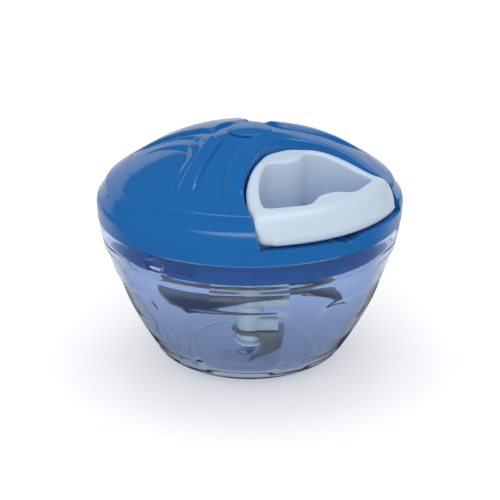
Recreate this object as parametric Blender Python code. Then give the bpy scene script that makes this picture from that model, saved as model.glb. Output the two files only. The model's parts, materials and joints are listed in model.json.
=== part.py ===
"""Pull cord food chopper: clear bowl, blade stack, domed lid with its cord reel, pull handle.

Metres, +Z up. The origin is the middle of the bowl's base. The handle pulls out along -Y.
"""
import math

import bmesh
import bpy
from mathutils import Vector

MM = 0.001
FULL_TURN = math.tau
ROUND_STEPS = 48
MID_STEPS = 32
SMALL_STEPS = 16
SMOOTH_ANGLE = math.radians(35)

# Clearance between neighbours, and how far a cutter runs past what it cuts
GAP = 0.3 * MM
OVERRUN = 2.0 * MM
MERGE_DISTANCE = 0.001 * MM
BAND_STEP = math.radians(5)

# Bowl
BOWL_HEIGHT = 61.5 * MM
BOWL_RIM_RADIUS = 61.8 * MM
BOWL_WALL = 2.5 * MM
BOWL_FLOOR = 3.1 * MM
FOOT_RADIUS = 29.6 * MM
FOOT_WIDTH = 3.0 * MM
FOOT_RECESS = 0.8 * MM
# Outer side of the bowl, as shares of the way from the foot's radius to the rim's and of the height
BOWL_SIDE_SHARES = (
    (0.062, 0.015), (0.161, 0.041), (0.261, 0.081), (0.388, 0.171), (0.550, 0.317),
    (0.724, 0.512), (0.811, 0.642), (0.891, 0.764), (0.947, 0.829))
PANEL_COUNT = 6
PANEL_DEPTH = 0.5 * MM
PANEL_LOW = 6.5 * MM
PANEL_HIGH = 35.0 * MM
PANEL_TOP_WIDTH = 46.0 * MM
PANEL_BASE_SHARE = 0.72
PANEL_CORNER_SHARE = 0.16
PANEL_TURN = math.radians(-135.5)

# Rim lugs, and the slots of the lid that take them
LUG_COUNT = 3
LUG_LENGTH = 8.3 * MM
LUG_HEIGHT = 3.5 * MM
LUG_DROP = 5.0 * MM
LUG_TURN = math.radians(-169)
LUG_PLAY = 0.6 * MM
LOCK_ANGLE = math.radians(12)

# Blade stack on its pin in the bowl floor
PIN_RADIUS = 1.6 * MM
PIN_LENGTH = 20.0 * MM
PIN_BOSS_RADIUS = 4.5 * MM
PIN_BOSS_HEIGHT = 1.5 * MM
PIN_SEAT_DEPTH = 2.6 * MM
CORE_RADIUS = 3.6 * MM
CORE_SIDES = 6
SLEEVE_RADIUS = 5.6 * MM
SHAFT_FOOT_RADIUS = 7.0 * MM
SHAFT_FOOT_HEIGHT = 0.9 * MM
LOWER_BLADE_RISE = 3.1 * MM
# Level of the upper blade, as a share of the bowl's height
UPPER_BLADE_SHARE = 0.4228
BLADE_THICKNESS = 1.0 * MM
UPPER_ARM_REACH = 16.6 * MM
LOWER_ARM_REACH = 12.0 * MM
ARM_WIDTH = 9.0 * MM
ARM_HEIGHT_ABOVE = 3.4 * MM
ARM_HEIGHT_BELOW = 3.6 * MM
LOWER_ARM_RISE = 5.4 * MM
UPPER_BLADE_REACH = 41.3 * MM
LOWER_BLADE_REACH = 31.5 * MM
BLADE_TURN = math.radians(-39.5)
# One wing of the upper blade, the other is its half turn, as shares of the blade's reach
WING_SHARES = (
    (0.00, -0.21), (-0.15, -0.33), (-0.39, -0.44), (-0.63, -0.45), (-0.80, -0.28),
    (-0.91, -0.02), (-0.954, 0.295), (-0.81, 0.14), (-0.65, 0.04), (-0.44, 0.02),
    (-0.24, 0.14))
# The lower blade, as shares of its reach
LOWER_BLADE_SHARES = (
    (0.00, 0.25), (0.24, 0.25), (0.45, 0.10), (0.52, -0.19), (0.45, -0.50), (0.26, -0.77),
    (-0.02, -1.00), (0.08, -0.73), (0.14, -0.48), (0.10, -0.29), (-0.13, -0.24),
    (-0.25, 0.00), (-0.16, 0.20))

# Dog drive between the lid's socket and the shaft
DOG_COUNT = 3
DOG_WIDTH = 2.2 * MM
DOG_RADIUS = 5.4 * MM
DOG_LENGTH = 5.5 * MM
DOG_ROOT_RADIUS = 3.5 * MM
DOG_PLAY = 0.8 * MM
SOCKET_WALL = 1.7 * MM
SOCKET_RIB_PLAY = 0.7 * MM
SOCKET_LENGTH = 6.7 * MM

# Underside of the lid
SKIRT_PLAY = 2.7 * MM
INNER_SKIRT_WALL = 3.0 * MM
INNER_SKIRT_DROP = 9.4 * MM
SLOT_DEPTH = 1.3 * MM
PLATE_DROP = 8.4 * MM
PLATE_THICKNESS = 1.8 * MM
WELL_DROP = 15.0 * MM
WELL_FLOOR = 1.8 * MM
WELL_PLAY = 3.0 * MM
WELL_WALL = 1.8 * MM
FLANGE_HEIGHT = 2.0 * MM

# Seal between the lid's skirt and the bowl rim
SEAL_THICKNESS = 1.8 * MM
SEAL_HEIGHT = 1.7 * MM

# One-way clutch
CUP_WALL = 3.0 * MM
CUP_FLOOR = 1.2 * MM
RATCHET_ROOT = 21.0 * MM
RATCHET_DEPTH = 2.0 * MM
RATCHET_TEETH = 16
CUP_HUB_RADIUS = 5.0 * MM
AXLE_SEAT_DEPTH = 2.5 * MM
PAWL_COUNT = 2
PAWL_THICKNESS = 3.0 * MM
PAWL_PIVOT_RADIUS = 12.0 * MM
PAWL_PIN_RADIUS = 1.5 * MM
PAWL_EYE_RADIUS = 3.2 * MM
PAWL_TIP_LEAD = math.radians(35)
PAWL_TIP_WIDTH = 2.4 * MM
PAWL_TIP_PLAY = 0.6 * MM

# Cord reel, spring and case
DISC_THICKNESS = 1.2 * MM
DISC_LAP = 1.0 * MM
ARBOR_RADIUS = 7.0 * MM
SPRING_HEIGHT = 6.0 * MM
SPRING_STRIP = 0.5 * MM
SPRING_TURNS = 7
SPRING_STEPS = 16
CASE_WALL = 1.6 * MM
CASE_ROOF = 1.5 * MM
CASE_FLANGE = 1.5 * MM
CASE_FLANGE_MARGIN = 3.4 * MM
DRUM_CORE_RADIUS = 8.6 * MM
DRUM_LIP = 3.2 * MM
DRUM_FLANGE = 1.0 * MM
CORD_RADIUS = 0.75 * MM
CORD_PITCH = 2.0 * MM
CORD_TURNS = 6.5
CORD_TURN_STEPS = 16
ANCHOR_HEIGHT = 2.2 * MM
ANCHOR_LENGTH = 2.0 * MM
AXLE_RADIUS = 2.0 * MM

# Top cover
LID_OVERHANG = 1.1 * MM
LID_RISE = 36.5 * MM
LID_WALL = 2.4 * MM
SKIRT_WALL = 2.7 * MM
SKIRT_INNER_SHARE = 0.285
# Outer side of the cover, as shares of its radius and rise above the rim
SKIRT_SHARES = (
    (0.990, 0.008), (0.994, 0.263), (1.000, 0.304), (0.992, 0.340), (0.944, 0.370),
    (0.927, 0.422), (0.919, 0.485))
DOME_SHARES = (
    (0.898, 0.512), (0.851, 0.548), (0.795, 0.586), (0.668, 0.696), (0.509, 0.830),
    (0.350, 0.918), (0.191, 0.978), (0.0, 1.0))
AXLE_BOSS_RADIUS = 4.6 * MM
CAP_RADIUS = 8.7 * MM
CAP_RISE = 0.8 * MM
CAP_BEVEL = 0.6 * MM
CAP_CROWN = 0.2 * MM
CAP_SEAT = 1.5 * MM
POCKET_FLOOR_LEVEL = 5.5 * MM
POCKET_FLOOR = 2.8 * MM
POCKET_WALL = 2.0 * MM
POCKET_CLEARANCE = 1.5 * MM
SCOOP_RADIUS = 16.0 * MM
SCOOP_DEPTH = 1.3 * MM

# Relief sunk into the dome between its raised wings, as shares of the cover's radius
RELIEF_DEPTH = 1.2 * MM
RELIEF_SHARES = (
    (0.17, 0.17), (0.13, 0.30), (0.13, 0.78), (0.40, 0.71), (0.62, 0.53), (0.76, 0.30),
    (0.815, 0.06), (0.74, -0.29), (0.61, -0.21), (0.44, -0.13), (0.29, -0.06), (0.24, 0.02))

# Handle. Its outline is given as shares of its reach from the axis, then of its length
DRUM_ROOM = 1.24 * MM
HANDLE_INSET = 1.2 * MM
HANDLE_LIFT = 2.1 * MM
HANDLE_TOP_DROP = 2.5 * MM
HANDLE_SHARES = (
    (0.0, 0.0), (0.062, 0.001), (0.110, 0.022), (0.154, 0.057), (0.248, 0.145),
    (0.344, 0.236), (0.412, 0.325), (0.473, 0.447), (0.527, 0.601), (0.557, 0.697),
    (0.557, 0.747), (0.535, 0.795), (0.486, 1.109))
# Top of the handle over its distance from the axis, as shares of its reach and its top
HANDLE_TOP_SHARES = (
    (0.0, 1.0), (0.259, 0.941), (0.348, 0.900), (0.438, 0.850), (0.525, 0.794),
    (0.632, 0.715), (0.713, 0.656), (0.810, 0.618), (0.900, 0.600), (0.927, 0.577))
FINGER_HOLE_SHARES = (
    (0.0, 0.262), (0.060, 0.257), (0.110, 0.214), (0.165, 0.180), (0.215, 0.191),
    (0.290, 0.265), (0.360, 0.358), (0.415, 0.467), (0.445, 0.563), (0.430, 0.638),
    (0.380, 0.686), (0.300, 0.727), (0.215, 0.779), (0.160, 0.775), (0.110, 0.727),
    (0.060, 0.688), (0.0, 0.680))

# Cord exit and the knot in the handle
GUIDE_RADIUS = 2.6 * MM
GUIDE_FLANGE_RADIUS = 3.6 * MM
GUIDE_FLANGE = 0.7 * MM
GUIDE_THROAT = 1.15 * MM
GUIDE_MOUTH = 2.0 * MM
GUIDE_FLARE = 1.0 * MM
GUIDE_INSET = 0.35 * MM
FEED_BEND = 0.35 * MM
KNOT_RADIUS = 2.2 * MM
KNOT_DEPTH = 7.0 * MM

# Screws
SCREW_HEAD_RADIUS = 2.8 * MM
SCREW_HEAD_HEIGHT = 1.6 * MM
SCREW_HEAD_FLAT = 2.1 * MM
SCREW_RADIUS = 1.1 * MM
PILOT_RADIUS = 1.4 * MM
SCREW_BOSS_RADIUS = 3.2 * MM
SCREW_BOSS_FLOOR = 0.8 * MM
SCREW_COUNT = 3
SCREW_TURN = math.radians(90)
CASE_SCREW_MARGIN = 4.4 * MM
CASE_SCREW_LENGTH = 5.0 * MM
COVER_SCREW_LENGTH = 14.0 * MM

# Radii worked out from the sizes above
INNER_SKIRT_RADIUS = BOWL_RIM_RADIUS - BOWL_WALL - SKIRT_PLAY
LID_RADIUS = BOWL_RIM_RADIUS + LID_OVERHANG
FLANGE_RADIUS = LID_RADIUS - SKIRT_WALL - GAP
SOCKET_BORE = DOG_RADIUS + DOG_PLAY
RATCHET_TIP = RATCHET_ROOT - RATCHET_DEPTH
CUP_RADIUS = RATCHET_ROOT + CUP_WALL
DISC_RADIUS = RATCHET_ROOT + DISC_LAP
WELL_RADIUS = CUP_RADIUS + WELL_PLAY
CASE_SCREW_CIRCLE = WELL_RADIUS + CASE_WALL + CASE_SCREW_MARGIN
CASE_FLANGE_RADIUS = CASE_SCREW_CIRCLE + CASE_FLANGE_MARGIN
COVER_SCREW_CIRCLE = (CASE_FLANGE_RADIUS + INNER_SKIRT_RADIUS - INNER_SKIRT_WALL) / 2
DRUM_FLANGE_RADIUS = DRUM_CORE_RADIUS + DRUM_LIP
HANDLE_REACH = LID_RADIUS - HANDLE_INSET

# Levels worked out from the sizes above, upward from the bowl's base
RIM = BOWL_HEIGHT
PIN_BASE = BOWL_FLOOR + PIN_BOSS_HEIGHT - PIN_SEAT_DEPTH
SHAFT_FOOT_BASE = BOWL_FLOOR + PIN_BOSS_HEIGHT + GAP
SLEEVE_BASE = SHAFT_FOOT_BASE + SHAFT_FOOT_HEIGHT + GAP
LOWER_BLADE_LEVEL = SLEEVE_BASE + LOWER_BLADE_RISE
UPPER_BLADE_LEVEL = BOWL_HEIGHT * UPPER_BLADE_SHARE
WELL_BASE = RIM - WELL_DROP
SOCKET_BASE = WELL_BASE - SOCKET_LENGTH
SPLINE_BASE = SOCKET_BASE - GAP
SHAFT_TOP = SPLINE_BASE + DOG_LENGTH
CUP_BASE = WELL_BASE + WELL_FLOOR + GAP
CUP_FLOOR_TOP = CUP_BASE + CUP_FLOOR
PAWL_BASE = CUP_FLOOR_TOP + GAP
PAWL_TOP = PAWL_BASE + PAWL_THICKNESS
DISC_BASE = PAWL_TOP + GAP
DISC_TOP = DISC_BASE + DISC_THICKNESS
SPRING_BASE = DISC_TOP + GAP
SPRING_TOP = SPRING_BASE + SPRING_HEIGHT
ROOF_BASE = SPRING_TOP + GAP
ROOF_TOP = ROOF_BASE + CASE_ROOF
DRUM_BASE = ROOF_TOP + GAP
FIRST_TURN = DRUM_BASE + DRUM_FLANGE + GAP + CORD_RADIUS
CORD_LEVEL = FIRST_TURN + CORD_TURNS * CORD_PITCH
DRUM_CORE_TOP = CORD_LEVEL + CORD_RADIUS + GAP
DRUM_TOP = DRUM_CORE_TOP + DRUM_FLANGE
AXLE_SEAT_BASE = CUP_FLOOR_TOP - AXLE_SEAT_DEPTH
AXLE_BASE = AXLE_SEAT_BASE + GAP
PLATE_TOP = RIM - PLATE_DROP + PLATE_THICKNESS
FLANGE_BASE = RIM + GAP
FLANGE_TOP = FLANGE_BASE + FLANGE_HEIGHT
DOME_TOP = RIM + LID_RISE
CAP_BASE = DOME_TOP - CAP_SEAT + GAP
AXLE_TOP = CAP_BASE - GAP - CAP_SEAT
POCKET_LEVEL = RIM + POCKET_FLOOR_LEVEL
HANDLE_BASE = POCKET_LEVEL + HANDLE_LIFT
HANDLE_TOP = LID_RISE - HANDLE_TOP_DROP
WIND_RADIUS = DRUM_CORE_RADIUS + GAP + CORD_RADIUS
POCKET_BACK = DRUM_FLANGE_RADIUS + DRUM_ROOM
POCKET_FACE = POCKET_BACK + POCKET_WALL
APEX_REACH = POCKET_FACE + POCKET_CLEARANCE
GUIDE_BACK = POCKET_BACK - GUIDE_INSET
GUIDE_FRONT = POCKET_FACE + GAP + GUIDE_FLANGE
CORD_CORNER = GUIDE_BACK + GUIDE_FLARE / 2


def clear_scene():
    for item in list(bpy.data.objects):
        bpy.data.objects.remove(item, do_unlink=True)


def painted(name, colour, roughness, metallic=0.0, transmission=0.0):
    material = bpy.data.materials.new(name)
    material.use_nodes = True
    shader = material.node_tree.nodes["Principled BSDF"]
    shader.inputs["Base Color"].default_value = (*colour, 1)
    shader.inputs["Roughness"].default_value = roughness
    shader.inputs["Metallic"].default_value = metallic
    shader.inputs["Transmission Weight"].default_value = transmission
    material.diffuse_color = (*colour, 1)
    return material


def finished_mesh(name, shape):
    bmesh.ops.remove_doubles(shape, verts=shape.verts, dist=MERGE_DISTANCE)
    bmesh.ops.recalc_face_normals(shape, faces=shape.faces)
    mesh = bpy.data.meshes.new(name)
    shape.to_mesh(mesh)
    shape.free()
    return mesh


def turned(name, profile, steps=ROUND_STEPS):
    """Closed profile of (radius, height) points turned round Z."""
    shape = bmesh.new()
    points = [shape.verts.new((radius, 0, height)) for radius, height in profile]
    edges = [shape.edges.new(pair) for pair in zip(points, points[1:] + points[:1])
             if any(point.co.x for point in pair)]
    bmesh.ops.spin(shape, geom=points + edges, cent=(0, 0, 0), axis=(0, 0, 1),
                   angle=FULL_TURN, steps=steps, use_merge=True)
    return finished_mesh(name, shape)


def prism(name, outline, low, high):
    """Outline of (x, y) points raised from low to high."""
    shape = bmesh.new()
    base = shape.faces.new([shape.verts.new((x, y, low)) for x, y in outline])
    raised = bmesh.ops.extrude_face_region(shape, geom=[base])
    bmesh.ops.translate(shape, vec=(0, 0, high - low),
                        verts=[item for item in raised["geom"] if isinstance(item, bmesh.types.BMVert)])
    return finished_mesh(name, shape)


def circle(radius, steps=SMALL_STEPS, centre=(0, 0)):
    return [(centre[0] + radius * math.cos(FULL_TURN * step / steps),
             centre[1] + radius * math.sin(FULL_TURN * step / steps)) for step in range(steps)]


def box(half_x, low_y, high_y):
    return [(-half_x, low_y), (half_x, low_y), (half_x, high_y), (-half_x, high_y)]


def stadium(length, height):
    """Slot outline with round ends, lying along X."""
    radius = height / 2
    middle = length / 2 - radius
    ends = [math.pi * step / 6 - math.pi / 2 for step in range(7)]
    right = [(middle + radius * math.cos(turn), radius * math.sin(turn)) for turn in ends]
    return right + [(-x, -y) for x, y in right]


def band(inner, outer, start, end):
    """Piece of a flat ring between two angles."""
    steps = max(2, math.ceil((end - start) / BAND_STEP))
    turns = [start + (end - start) * step / steps for step in range(steps + 1)]
    far = [(outer * math.cos(turn), outer * math.sin(turn)) for turn in turns]
    near = [(inner * math.cos(turn), inner * math.sin(turn)) for turn in reversed(turns)]
    return far + near


def mirrored(half):
    """Outline given for +X only, with its other side added."""
    return half + [(-x, y) for x, y in reversed(half) if x]


def offset_point(before, point, after, margin, side):
    """Point moved by margin along the mitre of the two edges that meet in it."""
    first = Vector((point[0] - before[0], point[1] - before[1])).normalized()
    second = Vector((after[0] - point[0], after[1] - point[1])).normalized()
    if not first.length:
        first = second
    if not second.length:
        second = first
    one = Vector((first.y, -first.x)) * side
    two = Vector((second.y, -second.x)) * side
    shift = (one + two) * margin / (1 + one.dot(two))
    return point[0] + shift.x, point[1] + shift.y


def grown(outline, margin):
    """Closed outline moved outward by margin."""
    pairs = list(zip(outline, outline[1:] + outline[:1]))
    area = sum(a[0] * b[1] - b[0] * a[1] for a, b in pairs)
    side = math.copysign(1, area)
    return [offset_point(outline[index - 1], point, outline[(index + 1) % len(outline)], margin, side)
            for index, point in enumerate(outline)]


def inset_path(path, wall):
    """Open path of (radius, height) points, climbing, moved toward the axis by wall."""
    last = len(path) - 1
    return [offset_point(path[max(index - 1, 0)], point, path[min(index + 1, last)], -wall, 1)
            for index, point in enumerate(path)]


def scaled(shares, across, along):
    return [(first * across, second * along) for first, second in shares]


def place(name, mesh, material, parent, turn=0.0):
    item = bpy.data.objects.new(name, mesh)
    bpy.context.collection.objects.link(item)
    item.rotation_euler.z = turn
    item.parent = parent
    mesh.materials.append(material)
    mesh.shade_smooth()
    mesh.set_sharp_from_angle(angle=SMOOTH_ANGLE)
    return item


def guide(name, mesh, turn=0.0, parent=None):
    """Shape that only cuts or fills another one."""
    item = bpy.data.objects.new(name, mesh)
    bpy.context.collection.objects.link(item)
    item.rotation_euler.z = turn
    item.parent = parent
    item.hide_render = True
    item.display_type = "WIRE"
    return item


def combine(target, other, operation):
    step = target.modifiers.new(other.name, "BOOLEAN")
    step.operation = operation
    step.solver = "EXACT"
    step.object = other


def pivot(name, location=(0, 0, 0), parent=None, turn=0.0):
    empty = bpy.data.objects.new(name, None)
    bpy.context.collection.objects.link(empty)
    empty.location = location
    empty.rotation_euler.z = turn
    empty.parent = parent
    return empty


def sideways(mesh, turn, level):
    """Mesh built along Z laid down along -Y, then turned about Z and raised."""
    for vertex in mesh.vertices:
        x, y, z = vertex.co
        vertex.co = (x * math.cos(turn) + z * math.sin(turn),
                     x * math.sin(turn) - z * math.cos(turn), y + level)
    return mesh


def bowl_side():
    spread = BOWL_RIM_RADIUS - FOOT_RADIUS
    side = [(FOOT_RADIUS + out * spread, up * BOWL_HEIGHT) for out, up in BOWL_SIDE_SHARES]
    return [(FOOT_RADIUS, 0)] + side + [(BOWL_RIM_RADIUS, BOWL_HEIGHT)]


def bowl_inside():
    """Inner side of the wall, from the floor up to the rim."""
    inner = inset_path(bowl_side(), BOWL_WALL)
    return inner[1:-1] + [(BOWL_RIM_RADIUS - BOWL_WALL, BOWL_HEIGHT)]


def panel_cutter(name, index, core):
    """Shallow trapezoid field with cut corners, reaching from the core to past the wall."""
    half_top = PANEL_TOP_WIDTH / 2
    half_base = half_top * PANEL_BASE_SHARE
    corner = (PANEL_HIGH - PANEL_LOW) * PANEL_CORNER_SHARE
    half = [(half_base - corner, PANEL_LOW), (half_base, PANEL_LOW + corner),
            (half_top, PANEL_HIGH - corner), (half_top - corner, PANEL_HIGH)]
    outline = half + [(-x, z) for x, z in reversed(half)]
    turn = PANEL_TURN + FULL_TURN * index / PANEL_COUNT + math.pi / 2
    mesh = sideways(prism(name, outline, FOOT_RADIUS / 2, BOWL_RIM_RADIUS), turn, 0)
    cutter = guide(name, mesh)
    combine(cutter, core, "DIFFERENCE")
    return cutter


def make_bowl(material):
    boss = PIN_RADIUS + GAP
    profile = [(0, FOOT_RECESS), (FOOT_RADIUS - FOOT_WIDTH, FOOT_RECESS), (FOOT_RADIUS - FOOT_WIDTH, 0)]
    profile += bowl_side() + bowl_inside()[::-1]
    profile += [(PIN_BOSS_RADIUS, BOWL_FLOOR), (PIN_BOSS_RADIUS, BOWL_FLOOR + PIN_BOSS_HEIGHT),
                (boss, BOWL_FLOOR + PIN_BOSS_HEIGHT), (boss, PIN_BASE - GAP), (0, PIN_BASE - GAP)]
    bowl = place("bowl", turned("bowl", profile), material, None)
    core_path = [(0, -OVERRUN), (FOOT_RADIUS, -OVERRUN)] + inset_path(bowl_side(), PANEL_DEPTH)[1:]
    core = guide("panel_core", turned("panel_core", core_path + [(0, BOWL_HEIGHT)]))
    for index in range(PANEL_COUNT):
        combine(bowl, panel_cutter(f"panel_cut_{index + 1}", index, core), "DIFFERENCE")
    for index in range(LUG_COUNT):
        mesh = prism(f"lug_{index + 1}", stadium(LUG_LENGTH, LUG_HEIGHT),
                     INNER_SKIRT_RADIUS - SLOT_DEPTH + GAP, BOWL_RIM_RADIUS - BOWL_WALL)
        turn = LUG_TURN + FULL_TURN * index / LUG_COUNT + math.pi / 2
        combine(bowl, guide(f"lug_{index + 1}", sideways(mesh, turn, RIM - LUG_DROP)), "UNION")
    return bowl


def make_bowl_pin(material):
    top = PIN_BASE + PIN_LENGTH
    profile = [(0, PIN_BASE), (PIN_RADIUS, PIN_BASE), (PIN_RADIUS, top - PIN_RADIUS / 2),
               (PIN_RADIUS / 2, top), (0, top)]
    place("bowl_pin", turned("bowl_pin", profile, SMALL_STEPS), material, None)


def drilled(item, name, radius, low, high, steps=SMALL_STEPS, centre=(0, 0), parent=None):
    mesh = prism(name, circle(radius, steps, centre), low, high)
    combine(item, guide(name, mesh, parent=parent), "DIFFERENCE")


def make_blade_shaft(material, parent):
    core = circle(CORE_RADIUS, CORE_SIDES)
    shaft = place("blade_shaft", prism("blade_shaft", core, SLEEVE_BASE, SPLINE_BASE), material, parent)
    stem = prism("shaft_spline", circle(DOG_ROOT_RADIUS), SPLINE_BASE - GAP, SHAFT_TOP)
    combine(shaft, guide("shaft_spline", stem, parent=parent), "UNION")
    for index in range(DOG_COUNT):
        rib = prism(f"shaft_rib_{index + 1}", box(DOG_WIDTH / 2, 0, DOG_RADIUS), SPLINE_BASE, SHAFT_TOP)
        turn = FULL_TURN * index / DOG_COUNT
        combine(shaft, guide(f"shaft_rib_{index + 1}", rib, turn, parent), "UNION")
    drilled(shaft, "shaft_bore", PIN_RADIUS + GAP, SLEEVE_BASE - OVERRUN,
            PIN_BASE + PIN_LENGTH + GAP, parent=parent)


def make_shaft_foot(material, parent):
    top = SHAFT_FOOT_BASE + SHAFT_FOOT_HEIGHT
    inner = PIN_RADIUS + GAP
    profile = [(inner, SHAFT_FOOT_BASE), (SHAFT_FOOT_RADIUS, SHAFT_FOOT_BASE),
               (SHAFT_FOOT_RADIUS, top), (inner, top)]
    place("shaft_foot", turned("shaft_foot", profile, SMALL_STEPS), material, parent)


def make_holder(name, material, parent, span, arm_span, arms):
    """Sleeve round the hexagonal core, with an arm for each (near, far) stretch along X."""
    sleeve_mesh = prism(name, circle(SLEEVE_RADIUS, MID_STEPS), *span)
    sleeve = place(name, sleeve_mesh, material, parent, BLADE_TURN)
    for index, (near, far) in enumerate(arms):
        half = ARM_WIDTH / 2
        outline = [(near, -half), (far, -half), (far, half), (near, half)]
        arm_name = f"{name}_arm_{index + 1}"
        combine(sleeve, guide(arm_name, prism(arm_name, outline, *arm_span), BLADE_TURN, parent), "UNION")
    bore = prism(f"{name}_bore", circle(CORE_RADIUS + GAP / math.cos(math.pi / CORE_SIDES), CORE_SIDES),
                 span[0] - OVERRUN, span[1] + OVERRUN)
    combine(sleeve, guide(f"{name}_bore", bore, parent=parent), "DIFFERENCE")


def make_blade(name, material, parent, outline, level):
    mesh = prism(name, outline, level, level + BLADE_THICKNESS)
    blade = place(name, mesh, material, parent, BLADE_TURN)
    drilled(blade, f"{name}_bore", CORE_RADIUS + GAP, level - OVERRUN,
            level + BLADE_THICKNESS + OVERRUN, parent=parent)


def make_blade_stack(white, steel, parent):
    make_blade_shaft(white, parent)
    make_shaft_foot(white, parent)
    lower_top = LOWER_BLADE_LEVEL + BLADE_THICKNESS + GAP
    upper_top = UPPER_BLADE_LEVEL + BLADE_THICKNESS + GAP
    split = UPPER_BLADE_LEVEL - ARM_HEIGHT_BELOW - GAP
    one_arm = [(0, LOWER_ARM_REACH)]
    both_arms = [(0, UPPER_ARM_REACH), (-UPPER_ARM_REACH, 0)]
    lower_seat = LOWER_BLADE_LEVEL - GAP
    upper_seat = UPPER_BLADE_LEVEL - GAP
    make_holder("holder_lower_low", white, parent, (SLEEVE_BASE, lower_seat),
                ((SLEEVE_BASE + lower_seat) / 2, lower_seat), one_arm)
    make_holder("holder_lower_high", white, parent, (lower_top, split - GAP),
                (lower_top, lower_top + LOWER_ARM_RISE), one_arm)
    make_holder("holder_upper_low", white, parent, (split, upper_seat),
                (upper_seat - ARM_HEIGHT_BELOW, upper_seat), both_arms)
    make_holder("holder_upper_high", white, parent, (upper_top, SPLINE_BASE - GAP),
                (upper_top, upper_top + ARM_HEIGHT_ABOVE), both_arms)
    wing = scaled(WING_SHARES, UPPER_BLADE_REACH, UPPER_BLADE_REACH)
    make_blade("blade_upper", steel, parent, wing + [(-x, -y) for x, y in wing], UPPER_BLADE_LEVEL)
    single = scaled(LOWER_BLADE_SHARES, LOWER_BLADE_REACH, LOWER_BLADE_REACH)
    make_blade("blade_lower", steel, parent, single, LOWER_BLADE_LEVEL)


def make_lid_seal(material, parent):
    inner = INNER_SKIRT_RADIUS + GAP
    top = RIM - GAP / 2
    base = top - SEAL_HEIGHT
    outer = inner + SEAL_THICKNESS
    profile = [(inner, base), (inner + SEAL_THICKNESS / 2, base), (outer, top - SEAL_HEIGHT / 2),
               (outer, top), (inner, top)]
    place("lid_seal", turned("lid_seal", profile), material, parent)


def make_lid_base(material, parent):
    bore = SOCKET_BORE + SOCKET_WALL + GAP
    plate_base = RIM - PLATE_DROP
    inner = INNER_SKIRT_RADIUS - INNER_SKIRT_WALL
    skirt_base = RIM - INNER_SKIRT_DROP
    well = WELL_RADIUS + WELL_WALL
    profile = [(bore, WELL_BASE), (well, WELL_BASE), (well, plate_base), (inner, plate_base),
               (inner, skirt_base), (INNER_SKIRT_RADIUS, skirt_base), (INNER_SKIRT_RADIUS, FLANGE_BASE),
               (FLANGE_RADIUS, FLANGE_BASE), (FLANGE_RADIUS, FLANGE_TOP), (inner, FLANGE_TOP),
               (inner, PLATE_TOP), (WELL_RADIUS, PLATE_TOP),
               (WELL_RADIUS, WELL_BASE + WELL_FLOOR), (bore, WELL_BASE + WELL_FLOOR)]
    base = place("lid_base", turned("lid_base", profile), material, parent)
    add_lug_slots(base)
    for index, (x, y) in enumerate(screw_places(CASE_SCREW_CIRCLE)):
        name = f"case_boss_{index + 1}"
        boss = prism(name, circle(SCREW_BOSS_RADIUS, SMALL_STEPS, (x, y)),
                     PLATE_TOP - CASE_SCREW_LENGTH - SCREW_BOSS_FLOOR, PLATE_TOP - PLATE_THICKNESS / 2)
        combine(base, guide(name, boss), "UNION")
        drilled(base, f"case_pilot_{index + 1}", PILOT_RADIUS, PLATE_TOP - CASE_SCREW_LENGTH,
                PLATE_TOP + OVERRUN, centre=(x, y))
    for index, (x, y) in enumerate(screw_places(COVER_SCREW_CIRCLE)):
        drilled(base, f"cover_hole_{index + 1}", PILOT_RADIUS, plate_base - OVERRUN,
                PLATE_TOP + OVERRUN, centre=(x, y))
    return base


def add_lug_slots(base):
    """L-shaped slot for each lug: an open drop, then a run along which the lid locks."""
    half = (LUG_LENGTH / 2 + LUG_PLAY) / INNER_SKIRT_RADIUS
    inner = INNER_SKIRT_RADIUS - SLOT_DEPTH
    outer = INNER_SKIRT_RADIUS + OVERRUN
    top = RIM - LUG_DROP + LUG_HEIGHT / 2 + LUG_PLAY
    run_base = RIM - LUG_DROP - LUG_HEIGHT / 2 - LUG_PLAY
    for index in range(LUG_COUNT):
        middle = LUG_TURN + FULL_TURN * index / LUG_COUNT
        drop = prism(f"slot_drop_{index + 1}", band(inner, outer, middle - half, middle + half),
                     RIM - INNER_SKIRT_DROP - OVERRUN, top)
        combine(base, guide(f"slot_drop_{index + 1}", drop), "DIFFERENCE")
        run = prism(f"slot_run_{index + 1}", band(inner, outer, middle, middle + half + LOCK_ANGLE),
                    run_base, top)
        combine(base, guide(f"slot_run_{index + 1}", run), "DIFFERENCE")


def screw_places(radius):
    turns = [SCREW_TURN + FULL_TURN * index / SCREW_COUNT for index in range(SCREW_COUNT)]
    return [(radius * math.cos(turn), radius * math.sin(turn)) for turn in turns]


def make_screw(name, material, parent, centre, seat, length, up):
    """Pan-head screw whose head rests on seat. It points up or down from there."""
    sign = 1 if up else -1
    profile = [(0, -SCREW_HEAD_HEIGHT), (SCREW_HEAD_FLAT, -SCREW_HEAD_HEIGHT),
               (SCREW_HEAD_RADIUS, -SCREW_HEAD_HEIGHT / 2), (SCREW_HEAD_RADIUS, 0), (SCREW_RADIUS, 0),
               (SCREW_RADIUS, length - SCREW_RADIUS), (SCREW_RADIUS / 2, length), (0, length)]
    mesh = turned(name, [(radius, seat + sign * height) for radius, height in profile], SMALL_STEPS)
    for vertex in mesh.vertices:
        vertex.co.x += centre[0]
        vertex.co.y += centre[1]
    place(name, mesh, material, parent)


def make_screws(material, parent):
    case_seat = PLATE_TOP + GAP + CASE_FLANGE + GAP
    for index, centre in enumerate(screw_places(CASE_SCREW_CIRCLE)):
        length = CASE_SCREW_LENGTH + CASE_FLANGE + GAP
        make_screw(f"case_screw_{index + 1}", material, parent, centre, case_seat, length, False)
    for index, centre in enumerate(screw_places(COVER_SCREW_CIRCLE)):
        make_screw(f"cover_screw_{index + 1}", material, parent, centre, RIM - PLATE_DROP - GAP,
                   COVER_SCREW_LENGTH, True)


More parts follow.
